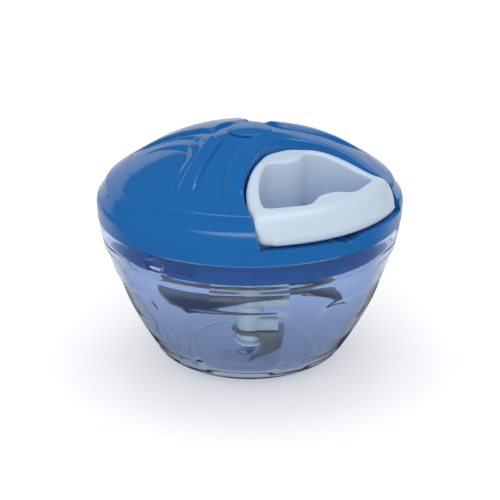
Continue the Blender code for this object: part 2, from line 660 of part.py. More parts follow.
def make_mechanism_case(material, parent):
    """Cup over the spring, open downward, on a flange that is screwed to the lid base."""
    outer = WELL_RADIUS + CASE_WALL
    flange_base = PLATE_TOP + GAP
    bore = DRUM_FLANGE_RADIUS + GAP
    profile = [(WELL_RADIUS, flange_base), (CASE_FLANGE_RADIUS, flange_base),
               (CASE_FLANGE_RADIUS, flange_base + CASE_FLANGE), (outer, flange_base + CASE_FLANGE),
               (outer, ROOF_TOP), (bore, ROOF_TOP), (bore, ROOF_BASE), (WELL_RADIUS, ROOF_BASE)]
    case = place("mechanism_case", turned("mechanism_case", profile, MID_STEPS), material, parent)
    for index, centre in enumerate(screw_places(CASE_SCREW_CIRCLE)):
        drilled(case, f"case_hole_{index + 1}", PILOT_RADIUS, flange_base - OVERRUN,
                flange_base + CASE_FLANGE + OVERRUN, centre=centre)


def ratchet_outline():
    """Inside of the cup: each tooth is a radial face, then a ramp back to the root."""
    outline = []
    for tooth in range(RATCHET_TEETH):
        start = FULL_TURN * tooth / RATCHET_TEETH + PAWL_TIP_LEAD
        half = start + FULL_TURN / RATCHET_TEETH / 2
        middle = (RATCHET_ROOT + RATCHET_TIP) / 2
        outline += [(RATCHET_ROOT * math.cos(start), RATCHET_ROOT * math.sin(start)),
                    (RATCHET_TIP * math.cos(start), RATCHET_TIP * math.sin(start)),
                    (middle * math.cos(half), middle * math.sin(half))]
    return outline


def make_clutch_cup(material, parent):
    outer = SOCKET_BORE + SOCKET_WALL
    profile = [(0, CUP_BASE), (CUP_RADIUS, CUP_BASE), (CUP_RADIUS, PAWL_TOP), (0, PAWL_TOP)]
    cup = place("clutch_cup", turned("clutch_cup", profile), material, parent)
    teeth = prism("ratchet_cut", ratchet_outline(), CUP_FLOOR_TOP, PAWL_TOP + OVERRUN)
    combine(cup, guide("ratchet_cut", teeth, parent=parent), "DIFFERENCE")
    hub = prism("cup_hub", circle(CUP_HUB_RADIUS), CUP_BASE + CUP_FLOOR / 2, PAWL_TOP)
    combine(cup, guide("cup_hub", hub, parent=parent), "UNION")
    socket = prism("socket", circle(outer, MID_STEPS), SOCKET_BASE, CUP_BASE + CUP_FLOOR / 2)
    combine(cup, guide("socket", socket, parent=parent), "UNION")
    drilled(cup, "socket_bore", SOCKET_BORE, SOCKET_BASE - OVERRUN, SHAFT_TOP + GAP, MID_STEPS,
            parent=parent)
    rib_reach = DOG_ROOT_RADIUS + SOCKET_RIB_PLAY
    for index in range(DOG_COUNT):
        name = f"socket_rib_{index + 1}"
        rib = prism(name, box(DOG_WIDTH / 2, rib_reach, SOCKET_BORE + SOCKET_WALL / 2),
                    SOCKET_BASE + GAP, SHAFT_TOP + GAP * 2)
        turn = FULL_TURN * index / DOG_COUNT + math.pi
        combine(cup, guide(name, rib, turn, parent), "UNION")
    drilled(cup, "axle_seat", AXLE_RADIUS + GAP, AXLE_SEAT_BASE, PAWL_TOP + OVERRUN, parent=parent)


def make_pawl(name, material, parent):
    """Pawl about its pivot, with the arm reaching out and forward to the ratchet teeth."""
    reach = (RATCHET_ROOT + RATCHET_TIP) / 2 - PAWL_TIP_PLAY
    lead = PAWL_TIP_LEAD - PAWL_TIP_PLAY / reach
    tip = Vector((reach * math.cos(lead) - PAWL_PIVOT_RADIUS, reach * math.sin(lead)))
    along = tip.normalized()
    across = Vector((along.y, -along.x))
    start = math.atan2(along.y, along.x)
    eye = [(PAWL_EYE_RADIUS * math.cos(start + turn), PAWL_EYE_RADIUS * math.sin(start + turn))
           for turn in (FULL_TURN * (step + 1) / 8 for step in range(7))]
    heel = tip - along * PAWL_TIP_WIDTH - across * PAWL_TIP_WIDTH
    outline = eye + [tuple(tip), tuple(heel)]
    mesh = prism(name, outline, PAWL_BASE, PAWL_TOP)
    pawl = place(name, mesh, material, parent)
    drilled(pawl, f"{name}_hole", PAWL_PIN_RADIUS + GAP, PAWL_BASE - OVERRUN, PAWL_TOP + OVERRUN,
            parent=parent)


def make_cord_reel(material, parent):
    bore = AXLE_RADIUS + GAP
    profile = [(bore, DISC_BASE), (DISC_RADIUS, DISC_BASE), (DISC_RADIUS, DISC_TOP),
               (ARBOR_RADIUS, DISC_TOP), (ARBOR_RADIUS, DRUM_BASE), (DRUM_FLANGE_RADIUS, DRUM_BASE),
               (DRUM_FLANGE_RADIUS, DRUM_BASE + DRUM_FLANGE), (DRUM_CORE_RADIUS, DRUM_BASE + DRUM_FLANGE),
               (DRUM_CORE_RADIUS, DRUM_CORE_TOP), (DRUM_FLANGE_RADIUS, DRUM_CORE_TOP),
               (DRUM_FLANGE_RADIUS, DRUM_TOP), (bore, DRUM_TOP)]
    reel = place("cord_reel", turned("cord_reel", profile, MID_STEPS), material, parent)
    for index in range(PAWL_COUNT):
        turn = FULL_TURN * index / PAWL_COUNT
        centre = (PAWL_PIVOT_RADIUS * math.cos(turn), PAWL_PIVOT_RADIUS * math.sin(turn))
        name = f"pawl_pin_{index + 1}"
        pin = prism(name, circle(PAWL_PIN_RADIUS, SMALL_STEPS, centre), PAWL_BASE,
                    DISC_BASE + DISC_THICKNESS / 2)
        combine(reel, guide(name, pin, parent=parent), "UNION")
    start = winding_start()
    near, far = DRUM_CORE_RADIUS - GAP * 2, WIND_RADIUS + CORD_RADIUS
    block = [(near, -ANCHOR_LENGTH), (far, -ANCHOR_LENGTH), (far, 0), (near, 0)]
    anchor = prism("cord_anchor", block, DRUM_BASE + DRUM_FLANGE / 2,
                   DRUM_BASE + DRUM_FLANGE + ANCHOR_HEIGHT)
    combine(reel, guide("cord_anchor", anchor, start, parent), "UNION")


def cord_exit():
    """Angle and point where the cord leaves the drum for the guide."""
    turn = -math.pi / 2 - math.acos(WIND_RADIUS / CORD_CORNER)
    return turn, Vector((WIND_RADIUS * math.cos(turn), WIND_RADIUS * math.sin(turn), CORD_LEVEL))


def winding_start():
    """Angle at which the lowest turn begins, just past the anchor block."""
    return cord_exit()[0] - FULL_TURN * CORD_TURNS - CORD_RADIUS * 2 / WIND_RADIUS


def winding_route():
    """One climbing turn after another, then one cord diameter straight on."""
    leave, end = cord_exit()
    start = winding_start() + GAP / WIND_RADIUS
    steps = round(CORD_TURNS * CORD_TURN_STEPS)
    points = []
    for step in range(steps + 1):
        share = step / steps
        turn = start + (leave - start) * share
        points.append(Vector((WIND_RADIUS * math.cos(turn), WIND_RADIUS * math.sin(turn),
                              FIRST_TURN + (CORD_LEVEL - FIRST_TURN) * share)))
    points[-1] = end
    forward = Vector((0, -CORD_CORNER, CORD_LEVEL)) - end
    points.append(end + forward.normalized() * CORD_RADIUS * 2)
    return points


def make_cord(name, points, material, parent, resolution):
    curve = bpy.data.curves.new(name, "CURVE")
    curve.dimensions = "3D"
    curve.bevel_depth = CORD_RADIUS
    curve.bevel_resolution = resolution
    curve.render_resolution_u = 0
    curve.use_fill_caps = True
    spline = curve.splines.new("POLY")
    spline.points.add(len(points) - 1)
    for slot, point in zip(spline.points, points):
        slot.co = (*point, 1)
    item = bpy.data.objects.new(name, curve)
    bpy.context.collection.objects.link(item)
    item.parent = parent
    curve.materials.append(material)


def least_gap(points):
    """Smallest distance between parts of a route that are at least half a turn apart."""
    apart = CORD_TURN_STEPS // 2
    near = min((one - two).length for index, one in enumerate(points) for two in points[index + apart:])
    return near - CORD_RADIUS * 2


def feed_route():
    end = winding_route()[-1]
    corner = Vector((0, -CORD_CORNER, CORD_LEVEL))
    forward = (corner - end).normalized()
    out = Vector((0, -1, 0))
    bend = FEED_BEND
    return [end + forward * GAP, corner - forward * bend * 3, corner - forward * bend,
            corner + out * bend / 2]


def make_cords(material, reel, lid, handle):
    turns = winding_route()
    make_cord("cord_winding", turns, material, reel, 1)
    print("least gap in the winding, mm:", round(least_gap(turns) / MM, 2))
    feed = feed_route()
    make_cord("cord_feed", feed, material, lid, 2)
    start = feed[-1] + Vector((0, -GAP, 0))
    stop = Vector((0, -APEX_REACH - KNOT_DEPTH, CORD_LEVEL))
    make_cord("cord_lead", [start, (start + stop) / 2, stop], material, handle, 2)


def make_recoil_spring(material, parent):
    """Flat strip wound outward from the arbor to the case wall."""
    inner = ARBOR_RADIUS + GAP + SPRING_STRIP / 2
    outer = WELL_RADIUS - GAP * 2 - SPRING_STRIP / 2
    steps = SPRING_TURNS * SPRING_STEPS
    near, far = [], []
    for step in range(steps + 1):
        share = step / steps
        turn = FULL_TURN * SPRING_TURNS * share
        radius = inner + (outer - inner) * share
        unit = Vector((math.cos(turn), math.sin(turn)))
        near.append(tuple(unit * (radius - SPRING_STRIP / 2)))
        far.append(tuple(unit * (radius + SPRING_STRIP / 2)))
    shape = bmesh.new()
    rows = []
    for low, high in zip(near, far):
        rows.append([shape.verts.new((*low, SPRING_BASE)), shape.verts.new((*high, SPRING_BASE)),
                     shape.verts.new((*high, SPRING_TOP)), shape.verts.new((*low, SPRING_TOP))])
    for one, two in zip(rows, rows[1:]):
        for side in range(4):
            other = (side + 1) % 4
            shape.faces.new((one[side], one[other], two[other], two[side]))
    shape.faces.new(rows[0])
    shape.faces.new(rows[-1][::-1])
    place("recoil_spring", finished_mesh("recoil_spring", shape), material, parent)


def make_axle_pin(material, parent):
    profile = [(0, AXLE_BASE), (AXLE_RADIUS, AXLE_BASE), (AXLE_RADIUS, AXLE_TOP), (0, AXLE_TOP)]
    place("axle_pin", turned("axle_pin", profile, SMALL_STEPS), material, parent)


def make_axle_cap(material, parent):
    top = DOME_TOP + CAP_RISE
    profile = [(0, CAP_BASE), (CAP_RADIUS - GAP, CAP_BASE), (CAP_RADIUS, CAP_BASE + GAP),
               (CAP_RADIUS, top - CAP_BEVEL), (CAP_RADIUS - CAP_BEVEL, top - CAP_CROWN), (0, top)]
    place("axle_cap", turned("axle_cap", profile, MID_STEPS), material, parent)


def dome_path():
    dome = scaled(DOME_SHARES, LID_RADIUS, LID_RISE)
    return [(radius, RIM + height) for radius, height in dome]


def dome_level(radius):
    """Height of the dome's outer side at a radius, between the points of its path."""
    path = dome_path()
    for (far, low), (near, high) in zip(path, path[1:]):
        if near <= radius <= far:
            return low + (high - low) * (far - radius) / (far - near)
    return path[0][1]


def cover_profile(inset):
    """Closed section of the cover as a full solid, with its surface moved in by inset."""
    skirt = [(radius, RIM + height) for radius, height in scaled(SKIRT_SHARES, LID_RADIUS, LID_RISE)]
    path = inset_path(skirt + dome_path(), inset) if inset else skirt + dome_path()
    top = (0, DOME_TOP - inset)
    low = POCKET_LEVEL - POCKET_FLOOR
    return [(0, low), (path[0][0], low)] + path[1:-1] + [top]


def shell_profile():
    skirt = [(radius, RIM + height) for radius, height in scaled(SKIRT_SHARES, LID_RADIUS, LID_RISE)]
    skirt[0] = (skirt[0][0], RIM + GAP)
    inner = inset_path(dome_path(), LID_WALL)[:-1] + [(0, DOME_TOP - LID_WALL)]
    inside = LID_RADIUS - SKIRT_WALL
    return (skirt + dome_path() + inner[::-1]
            + [(inside, RIM + LID_RISE * SKIRT_INNER_SHARE), (inside, RIM + GAP)])


def along_handle(shares):
    """Points across and along the handle, from its apex outward."""
    length = HANDLE_REACH - APEX_REACH
    return [(across * HANDLE_REACH, -APEX_REACH - along * length) for across, along in shares]


def handle_outline():
    return mirrored(along_handle(HANDLE_SHARES))


def sink_relief(cover):
    """Two shallow fields, one each side of the handle's pocket, between the raised wings."""
    core = guide("relief_core", turned("relief_core", cover_profile(RELIEF_DEPTH)))
    field = scaled(RELIEF_SHARES, LID_RADIUS, LID_RADIUS)
    for side, name in ((1, "relief_right"), (-1, "relief_left")):
        outline = [(side * x, y) for x, y in field]
        cutter = guide(name, prism(name, outline, POCKET_LEVEL, DOME_TOP + OVERRUN))
        combine(cutter, core, "DIFFERENCE")
        combine(cover, cutter, "DIFFERENCE")


def make_top_cover(material, parent):
    cover = place("top_cover", turned("top_cover", shell_profile()), material, parent)
    sink_relief(cover)
    core = guide("cover_core", turned("cover_core", cover_profile(LID_WALL / 2)))
    tub_outline = grown(handle_outline(), POCKET_CLEARANCE + POCKET_WALL)
    tub = guide("pocket_tub", prism("pocket_tub", tub_outline, POCKET_LEVEL - POCKET_FLOOR, DOME_TOP))
    combine(tub, core, "INTERSECT")
    combine(cover, tub, "UNION")
    axle_boss = prism("axle_boss", circle(AXLE_BOSS_RADIUS), DRUM_TOP + GAP, DOME_TOP - LID_WALL / 2)
    combine(cover, guide("axle_boss", axle_boss), "UNION")
    boss_top = dome_level(COVER_SCREW_CIRCLE + SCREW_BOSS_RADIUS) - LID_WALL / 2
    for index, centre in enumerate(screw_places(COVER_SCREW_CIRCLE)):
        name = f"cover_boss_{index + 1}"
        boss = prism(name, circle(SCREW_BOSS_RADIUS, SMALL_STEPS, centre), PLATE_TOP + GAP, boss_top)
        combine(cover, guide(name, boss), "UNION")
        drilled(cover, f"cover_pilot_{index + 1}", PILOT_RADIUS, PLATE_TOP,
                RIM - PLATE_DROP + COVER_SCREW_LENGTH + GAP, centre=centre)
    cavity = prism("pocket_cavity", grown(handle_outline(), POCKET_CLEARANCE), POCKET_LEVEL,
                   DOME_TOP + OVERRUN)
    combine(cover, guide("pocket_cavity", cavity), "DIFFERENCE")
    drilled(cover, "axle_hole", AXLE_RADIUS + GAP, DRUM_TOP - OVERRUN, AXLE_TOP + GAP)
    drilled(cover, "cap_seat", CAP_RADIUS + GAP, DOME_TOP - CAP_SEAT, DOME_TOP + OVERRUN, MID_STEPS)
    exit_hole = prism("guide_hole", circle(GUIDE_RADIUS + GAP), POCKET_BACK - OVERRUN,
                      POCKET_FACE + OVERRUN)
    combine(cover, guide("guide_hole", sideways(exit_hole, 0, CORD_LEVEL)), "DIFFERENCE")
    scoop = prism("scoop", circle(SCOOP_RADIUS, ROUND_STEPS), LID_RADIUS - SKIRT_WALL * 2,
                  LID_RADIUS + OVERRUN)
    scoop_level = POCKET_LEVEL - SCOOP_DEPTH + SCOOP_RADIUS
    combine(cover, guide("scoop", sideways(scoop, 0, scoop_level)), "DIFFERENCE")


def make_cord_guide(material, parent):
    """Eyelet through the pocket's back wall, flared at both ends."""
    flange = GUIDE_FRONT - GUIDE_FLANGE
    profile = [(GUIDE_MOUTH, GUIDE_BACK), (GUIDE_RADIUS, GUIDE_BACK), (GUIDE_RADIUS, flange),
               (GUIDE_FLANGE_RADIUS, flange), (GUIDE_FLANGE_RADIUS, GUIDE_FRONT),
               (GUIDE_MOUTH, GUIDE_FRONT), (GUIDE_THROAT, GUIDE_FRONT - GUIDE_FLANGE),
               (GUIDE_THROAT, GUIDE_BACK + GUIDE_FLARE)]
    mesh = sideways(turned("cord_guide", profile, SMALL_STEPS), 0, CORD_LEVEL)
    place("cord_guide", mesh, material, parent)


def make_handle(material, parent):
    block = prism("handle", handle_outline(), HANDLE_BASE, RIM + HANDLE_TOP + OVERRUN)
    handle = place("handle", block, material, parent)
    top = [(radius, RIM + height)
           for radius, height in scaled(HANDLE_TOP_SHARES, HANDLE_REACH, HANDLE_TOP)]
    low = HANDLE_BASE - OVERRUN
    profile = top + [(HANDLE_REACH, HANDLE_BASE), (HANDLE_REACH, low), (0, low)]
    body = guide("handle_body", turned("handle_body", profile), parent=parent)
    combine(handle, body, "INTERSECT")
    hole = along_handle(FINGER_HOLE_SHARES)
    outline = hole + [(-x, y) for x, y in hole[-2:0:-1]]
    finger = prism("finger_hole", outline, low, RIM + HANDLE_TOP + OVERRUN)
    combine(handle, guide("finger_hole", finger, parent=parent), "DIFFERENCE")
    cord_hole = sideways(prism("cord_hole", circle(CORD_RADIUS + GAP), APEX_REACH - OVERRUN,
                               APEX_REACH + KNOT_DEPTH + OVERRUN), 0, CORD_LEVEL)
    combine(handle, guide("cord_hole", cord_hole, parent=parent), "DIFFERENCE")
    knot_seat = sideways(prism("knot_seat", circle(KNOT_RADIUS + GAP), APEX_REACH + KNOT_DEPTH,
                               OVERRUN - hole[0][1]), 0, CORD_LEVEL)
    combine(handle, guide("knot_seat", knot_seat, parent=parent), "DIFFERENCE")


def make_cord_knot(material, parent):
    shape = bmesh.new()
    bmesh.ops.create_uvsphere(shape, u_segments=SMALL_STEPS, v_segments=8, radius=KNOT_RADIUS)
    mesh = finished_mesh("cord_knot", shape)
    for vertex in mesh.vertices:
        vertex.co.y -= APEX_REACH + KNOT_DEPTH + GAP + KNOT_RADIUS
        vertex.co.z += CORD_LEVEL
    place("cord_knot", mesh, material, parent)


def main():
    clear_scene()
    clear = painted("clear_plastic", (0.72, 0.78, 0.92), 0.06, transmission=0.95)
    blue = painted("blue_plastic", (0.020, 0.125, 0.450), 0.28)
    base_blue = painted("base_blue", (0.018, 0.105, 0.380), 0.35)
    cap_blue = painted("cap_blue", (0.020, 0.115, 0.420), 0.30)
    white = painted("white_plastic", (0.80, 0.83, 0.88), 0.35)
    steel = painted("blade_steel", (0.42, 0.42, 0.44), 0.22, 1.0)
    pin_steel = painted("pin_steel", (0.60, 0.61, 0.63), 0.25, 1.0)
    silicone = painted("silicone", (0.75, 0.78, 0.80), 0.60)
    inner_white = painted("mechanism_plastic", (0.74, 0.75, 0.76), 0.45)
    spring_steel = painted("spring_steel", (0.35, 0.36, 0.38), 0.30, 1.0)
    cord_white = painted("cord", (0.85, 0.85, 0.83), 0.80)

    blades = pivot("blade_axis")
    lid = pivot("lid_axis")
    drive = pivot("drive_axis", parent=lid)
    reel = pivot("reel_axis", parent=lid)
    pull = pivot("handle_axis", parent=lid)

    make_bowl(clear)
    make_bowl_pin(pin_steel)
    make_blade_stack(white, steel, blades)
    make_lid_seal(silicone, pivot("seal_axis"))
    make_lid_base(base_blue, lid)
    make_mechanism_case(inner_white, lid)
    make_screws(pin_steel, lid)
    make_axle_pin(pin_steel, lid)
    make_top_cover(blue, lid)
    make_axle_cap(cap_blue, lid)
    make_cord_guide(inner_white, lid)
    make_clutch_cup(inner_white, drive)
    for index in range(PAWL_COUNT):
        turn = FULL_TURN * index / PAWL_COUNT
        centre = (PAWL_PIVOT_RADIUS * math.cos(turn), PAWL_PIVOT_RADIUS * math.sin(turn), 0)
        make_pawl(f"pawl_{index + 1}", inner_white, pivot(f"pawl_axis_{index + 1}", centre, reel, turn))
    make_cord_reel(inner_white, reel)
    make_recoil_spring(spring_steel, lid)
    make_cords(cord_white, reel, lid, pull)
    make_handle(white, pull)
    make_cord_knot(cord_white, pull)


main()
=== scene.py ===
import json
import math

import bmesh
import bpy
import numpy as np
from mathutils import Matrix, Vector

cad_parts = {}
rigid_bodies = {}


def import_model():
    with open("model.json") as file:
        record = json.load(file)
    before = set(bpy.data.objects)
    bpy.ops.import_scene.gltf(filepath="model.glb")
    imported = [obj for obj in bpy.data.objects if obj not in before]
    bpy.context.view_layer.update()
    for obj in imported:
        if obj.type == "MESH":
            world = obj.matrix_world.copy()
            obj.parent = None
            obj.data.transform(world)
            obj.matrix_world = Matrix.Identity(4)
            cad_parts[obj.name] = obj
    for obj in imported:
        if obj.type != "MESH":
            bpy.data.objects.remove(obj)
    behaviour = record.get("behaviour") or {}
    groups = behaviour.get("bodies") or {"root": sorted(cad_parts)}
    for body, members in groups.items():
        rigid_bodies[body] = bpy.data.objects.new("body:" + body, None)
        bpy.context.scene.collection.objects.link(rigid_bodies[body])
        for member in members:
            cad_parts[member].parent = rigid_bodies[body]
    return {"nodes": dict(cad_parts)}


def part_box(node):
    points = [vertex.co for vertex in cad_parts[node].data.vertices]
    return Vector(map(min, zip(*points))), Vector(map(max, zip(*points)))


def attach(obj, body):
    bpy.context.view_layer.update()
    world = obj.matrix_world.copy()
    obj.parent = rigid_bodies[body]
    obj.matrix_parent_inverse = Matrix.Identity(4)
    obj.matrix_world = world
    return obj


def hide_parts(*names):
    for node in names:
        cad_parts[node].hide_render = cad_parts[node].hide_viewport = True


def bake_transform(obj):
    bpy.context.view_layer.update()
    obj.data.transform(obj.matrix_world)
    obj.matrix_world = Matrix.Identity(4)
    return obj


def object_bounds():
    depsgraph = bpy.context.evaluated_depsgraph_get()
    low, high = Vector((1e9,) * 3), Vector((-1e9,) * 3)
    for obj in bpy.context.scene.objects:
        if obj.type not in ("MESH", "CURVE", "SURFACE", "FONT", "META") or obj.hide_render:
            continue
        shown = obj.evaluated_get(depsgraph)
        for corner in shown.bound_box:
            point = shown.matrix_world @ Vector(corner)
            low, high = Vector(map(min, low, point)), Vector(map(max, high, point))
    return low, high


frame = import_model()
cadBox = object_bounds()
mm = 0.001
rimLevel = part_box("bowl")[1].z / mm      # heights on the lid are counted from the bowl's rim
print("frame loaded, rim at", round(rimLevel, 2), "mm")


# Curves and steps

spanSteps = 24      # points in each span of a curve, before they are spaced evenly


def softStep(low, high, value):
    # 0 below low, 1 above high, and t * t * (3 - 2 t) between them
    t = np.clip((value - low) / (high - low), 0, 1)
    return t * t * (3 - 2 * t)


def softMin(one, two, blend):
    # the smaller value, rounded off where the two are less than blend apart
    near = np.clip(blend - np.abs(one - two), 0, None) / blend
    return np.minimum(one, two) - near * near * blend / 4


def smoothLine(points, count, closed=False):
    # Catmull-Rom: a cubic in each span, whose end slopes are half the step between the neighbours,
    # read at even steps of its length
    line = np.asarray(points, float)
    if closed:
        ring = np.vstack([line[-1:], line, line[:2]])
    else:
        ring = np.vstack([2 * line[0] - line[1], line, 2 * line[-1] - line[-2]])
    a, b, c, d = (ring[k:len(ring) - 3 + k, None] for k in range(4))
    t = np.linspace(0, 1, spanSteps, endpoint=False)[None, :, None]
    dense = 0.5 * (2 * b + (c - a) * t + (2 * a - 5 * b + 4 * c - d) * t ** 2
                   + (3 * b - a - 3 * c + d) * t ** 3)
    dense = np.vstack([dense.reshape(-1, line.shape[1]), line[:1] if closed else line[-1:]])
    run = np.concatenate([[0], np.cumsum(np.linalg.norm(np.diff(dense, axis=0), axis=1))])
    even = np.linspace(0, run[-1], count, endpoint=not closed)
    return np.stack([np.interp(even, run, dense[:, k]) for k in range(line.shape[1])], -1)


def bothSides(half):
    # outline given for +X, from its middle at one end to its middle at the other, then back on -X
    half = np.asarray(half, float)
    return np.vstack([half, (half * [-1, 1])[-2:0:-1]])


def awayFrom(outline, x, y):
    # distance from each point to a closed outline, below zero inside it
    points = np.stack([np.ravel(x), np.ravel(y)], -1)
    start, end = outline, np.roll(outline, -1, axis=0)
    edge = end - start
    best = np.full(len(points), np.inf)
    inside = np.zeros(len(points), bool)
    for first, along, last in zip(start, edge, end):
        t = np.clip(((points - first) @ along) / (along @ along), 0, 1)
        best = np.minimum(best, np.linalg.norm(points - first - t[:, None] * along, axis=1))
        if first[1] != last[1]:
            crosses = (first[1] > points[:, 1]) != (last[1] > points[:, 1])
            inside ^= crosses & (points[:, 0] < first[0] + (points[:, 1] - first[1]) * along[0] / along[1])
    return np.where(inside, -best, best).reshape(np.shape(x))


# Meshes

mergeWithin, flatWithin = 1e-7, 1e-8      # metres


def gridFaces(rows, columns, wrapRows):
    # each row's end joins its start, and the last row joins the first where wrapRows says so
    i, j = np.meshgrid(np.arange(rows if wrapRows else rows - 1), np.arange(columns), indexing="ij")
    nextI, nextJ = (i + 1) % rows, (j + 1) % columns
    faces = np.stack([i * columns + j, nextI * columns + j, nextI * columns + nextJ, i * columns + nextJ], -1)
    return faces.reshape(-1, 4)


def newObject(name, grid, wrapRows=False, sharp=35, marks=None):
    # grid holds rows of points in mm; doubles are merged, so a row that is one point closes a pole
    mesh = bpy.data.meshes.new(name)
    mesh.from_pydata((grid.reshape(-1, 3) * mm).tolist(), [], gridFaces(*grid.shape[:2], wrapRows).tolist())
    for title, values in (marks or {}).items():
        mesh.attributes.new(title, "FLOAT", "POINT").data.foreach_set("value", values.ravel())
    shape = bmesh.new()
    shape.from_mesh(mesh)
    bmesh.ops.remove_doubles(shape, verts=shape.verts, dist=mergeWithin)
    bmesh.ops.dissolve_degenerate(shape, edges=shape.edges, dist=flatWithin)
    bmesh.ops.recalc_face_normals(shape, faces=shape.faces)
    shape.to_mesh(mesh)
    shape.free()
    smoothShade(mesh, sharp)
    piece = bpy.data.objects.new(name, mesh)
    bpy.context.scene.collection.objects.link(piece)
    return piece


def smoothShade(mesh, sharp):
    mesh.shade_smooth()
    mesh.set_sharp_from_angle(angle=math.radians(sharp))


def around(radius, height, turn):
    # points at (radius cos turn, radius sin turn, height)
    return np.stack([radius * np.cos(turn), radius * np.sin(turn), height + 0 * turn], -1)


def turned(profile, columns):
    # each (radius, height) of the profile swept once round Z
    turn = np.linspace(0, math.tau, columns, endpoint=False)
    radius, height = np.asarray(profile, float).T[:, :, None]
    return around(radius, height, turn)


def applyModifiers(piece):
    bpy.context.view_layer.update()
    made = bpy.data.meshes.new_from_object(piece.evaluated_get(bpy.context.evaluated_depsgraph_get()))
    piece.modifiers.clear()
    piece.data = made


def settle(piece, material, body, slot, *nodes):
    # a piece's material, the body it rides on, its slot, which is not used, and the CAD nodes that it stands
    # for
    piece.data.materials.clear()
    piece.data.materials.append(material)
    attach(piece, body)
    if nodes:
        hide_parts(*nodes)


# Materials

def nodeGroup(name, inputs, outputs):
    group = bpy.data.node_groups.new(name, "ShaderNodeTree")
    for title, kind, value in inputs:
        socket = group.interface.new_socket(name=title, in_out="INPUT", socket_type=kind)
        socket.default_value = value
    for title, kind in outputs:
        group.interface.new_socket(name=title, in_out="OUTPUT", socket_type=kind)
    return group, group.nodes.new("NodeGroupInput"), group.nodes.new("NodeGroupOutput")


def addNode(tree, kind, links=(), **values):
    # links are pairs of an input and the value or socket that it takes, values the node's own settings
    node = tree.nodes.new(kind)
    for key, value in values.items():
        setattr(node, key, value)
    for slot, source in links:
        if isinstance(source, bpy.types.NodeSocket):
            tree.links.new(source, node.inputs[slot])
        else:
            node.inputs[slot].default_value = source
    return node


def mathNode(tree, operation, *values):
    return addNode(tree, "ShaderNodeMath", enumerate(values), operation=operation).outputs[0]


def dotNode(tree, one, two):
    node = addNode(tree, "ShaderNodeVectorMath", [(0, one), (1, two)], operation="DOT_PRODUCT")
    return node.outputs["Value"]


def mapRange(tree, value, low, high, least=0.0, most=1.0):
    return addNode(tree, "ShaderNodeMapRange", [("Value", value), ("From Min", low), ("From Max", high),
                                                ("To Min", least), ("To Max", most)]).outputs["Result"]


def noiseNode(tree, vector, scale, detail):
    return addNode(tree, "ShaderNodeTexNoise", [("Vector", vector), ("Scale", scale),
                                                ("Detail", detail)]).outputs["Fac"]


def bumpNode(tree, strength, depth, height):
    return addNode(tree, "ShaderNodeBump", [("Strength", strength), ("Distance", depth),
                                            ("Height", height)]).outputs["Normal"]


def mixColour(tree, share, one, two):
    return addNode(tree, "ShaderNodeMix", [("Factor", share), ("A", (*one, 1)), ("B", (*two, 1))],
                   data_type="RGBA").outputs["Result"]


# noise scales per metre with their detail, bend ranges of a convex edge and of a crease, the grain's
# depth in metres, and the strength of the painted edge highlight and crease shade of a plastic that names
# none
skinLook = {"cloudNoise": (55.0, 3.0), "grainNoise": (2600.0, 2.0), "edge": (0.51, 0.6, 0.0, 0.5),
            "crease": (0.49, 0.4), "grainDepth": 0.0002, "edgeShading": 0.12}


def makeMouldGroup():
    # moulded plastic: faint flow clouds in the colour and the gloss, a very fine skin, convex edges
    # painted a little paler as a highlight and made duller, and creases painted a little darker as shade
    group, start, end = nodeGroup(
        "mouldedSkin",
        [("Color", "NodeSocketColor", (1, 1, 1, 1)), ("Roughness", "NodeSocketFloat", 0.3),
         ("Cloud", "NodeSocketFloat", 0.06), ("Grain", "NodeSocketFloat", 0.02),
         ("EdgeShading", "NodeSocketFloat", 0.1)],
        [("Color", "NodeSocketColor"), ("Roughness", "NodeSocketFloat"), ("Normal", "NodeSocketVector")])
    place = addNode(group, "ShaderNodeTexCoord").outputs["Object"]
    bend = addNode(group, "ShaderNodeNewGeometry").outputs["Pointiness"]
    cloud = noiseNode(group, place, *skinLook["cloudNoise"])
    grain = noiseNode(group, place, *skinLook["grainNoise"])
    amount = mathNode(group, "MULTIPLY", mathNode(group, "SUBTRACT", cloud, 0.5), start.outputs["Cloud"])
    # painted highlight: convex edges made paler by the pointiness; painted shade: creases made darker
    edgeHighlight = mathNode(group, "MULTIPLY", mapRange(group, bend, *skinLook["edge"]), start.outputs["EdgeShading"])
    shaded = mathNode(group, "MULTIPLY", mapRange(group, bend, *skinLook["crease"]), start.outputs["EdgeShading"])
    lift = mathNode(group, "ADD", amount, edgeHighlight)
    value = mathNode(group, "ADD", mathNode(group, "SUBTRACT", lift, shaded), 1.0)
    tint = addNode(group, "ShaderNodeHueSaturation", [("Color", start.outputs["Color"]), ("Value", value)])
    rough = mathNode(group, "ADD", start.outputs["Roughness"], lift)
    bump = bumpNode(group, start.outputs["Grain"], skinLook["grainDepth"], grain)
    group.links.new(tint.outputs["Color"], end.inputs["Color"])
    group.links.new(rough, end.inputs["Roughness"])
    group.links.new(bump, end.inputs["Normal"])
    return group


mouldGroup = makeMouldGroup()


def newMaterial(name):
    material = bpy.data.materials.new(name)
    material.use_nodes = True
    return material, material.node_tree, material.node_tree.nodes["Principled BSDF"]


def linkShader(tree, shader, colour, rough, normal):
    for source, title in ((colour, "Base Color"), (rough, "Roughness"), (normal, "Normal")):
        tree.links.new(source, shader.inputs[title])


def mouldedPlastic(name, look):
    material, tree, shader = newMaterial(name)
    skin = addNode(tree, "ShaderNodeGroup", node_tree=mouldGroup)
    skin.inputs["Color"].default_value = (*look["color"], 1)
    for title, value in (("Roughness", look["roughness"]), ("Cloud", look["cloud"]), ("Grain", look["grain"]),
                         ("EdgeShading", look.get("edgeShading", skinLook["edgeShading"]))):
        skin.inputs[title].default_value = value
    linkShader(tree, shader, skin.outputs["Color"], skin.outputs["Roughness"], skin.outputs["Normal"])
    return material


def clearPlastic(name, look):
    material = mouldedPlastic(name, look)
    shader = material.node_tree.nodes["Principled BSDF"]
    shader.inputs["Transmission Weight"].default_value = look["clear"]
    shader.inputs["IOR"].default_value = look["ior"]
    return material


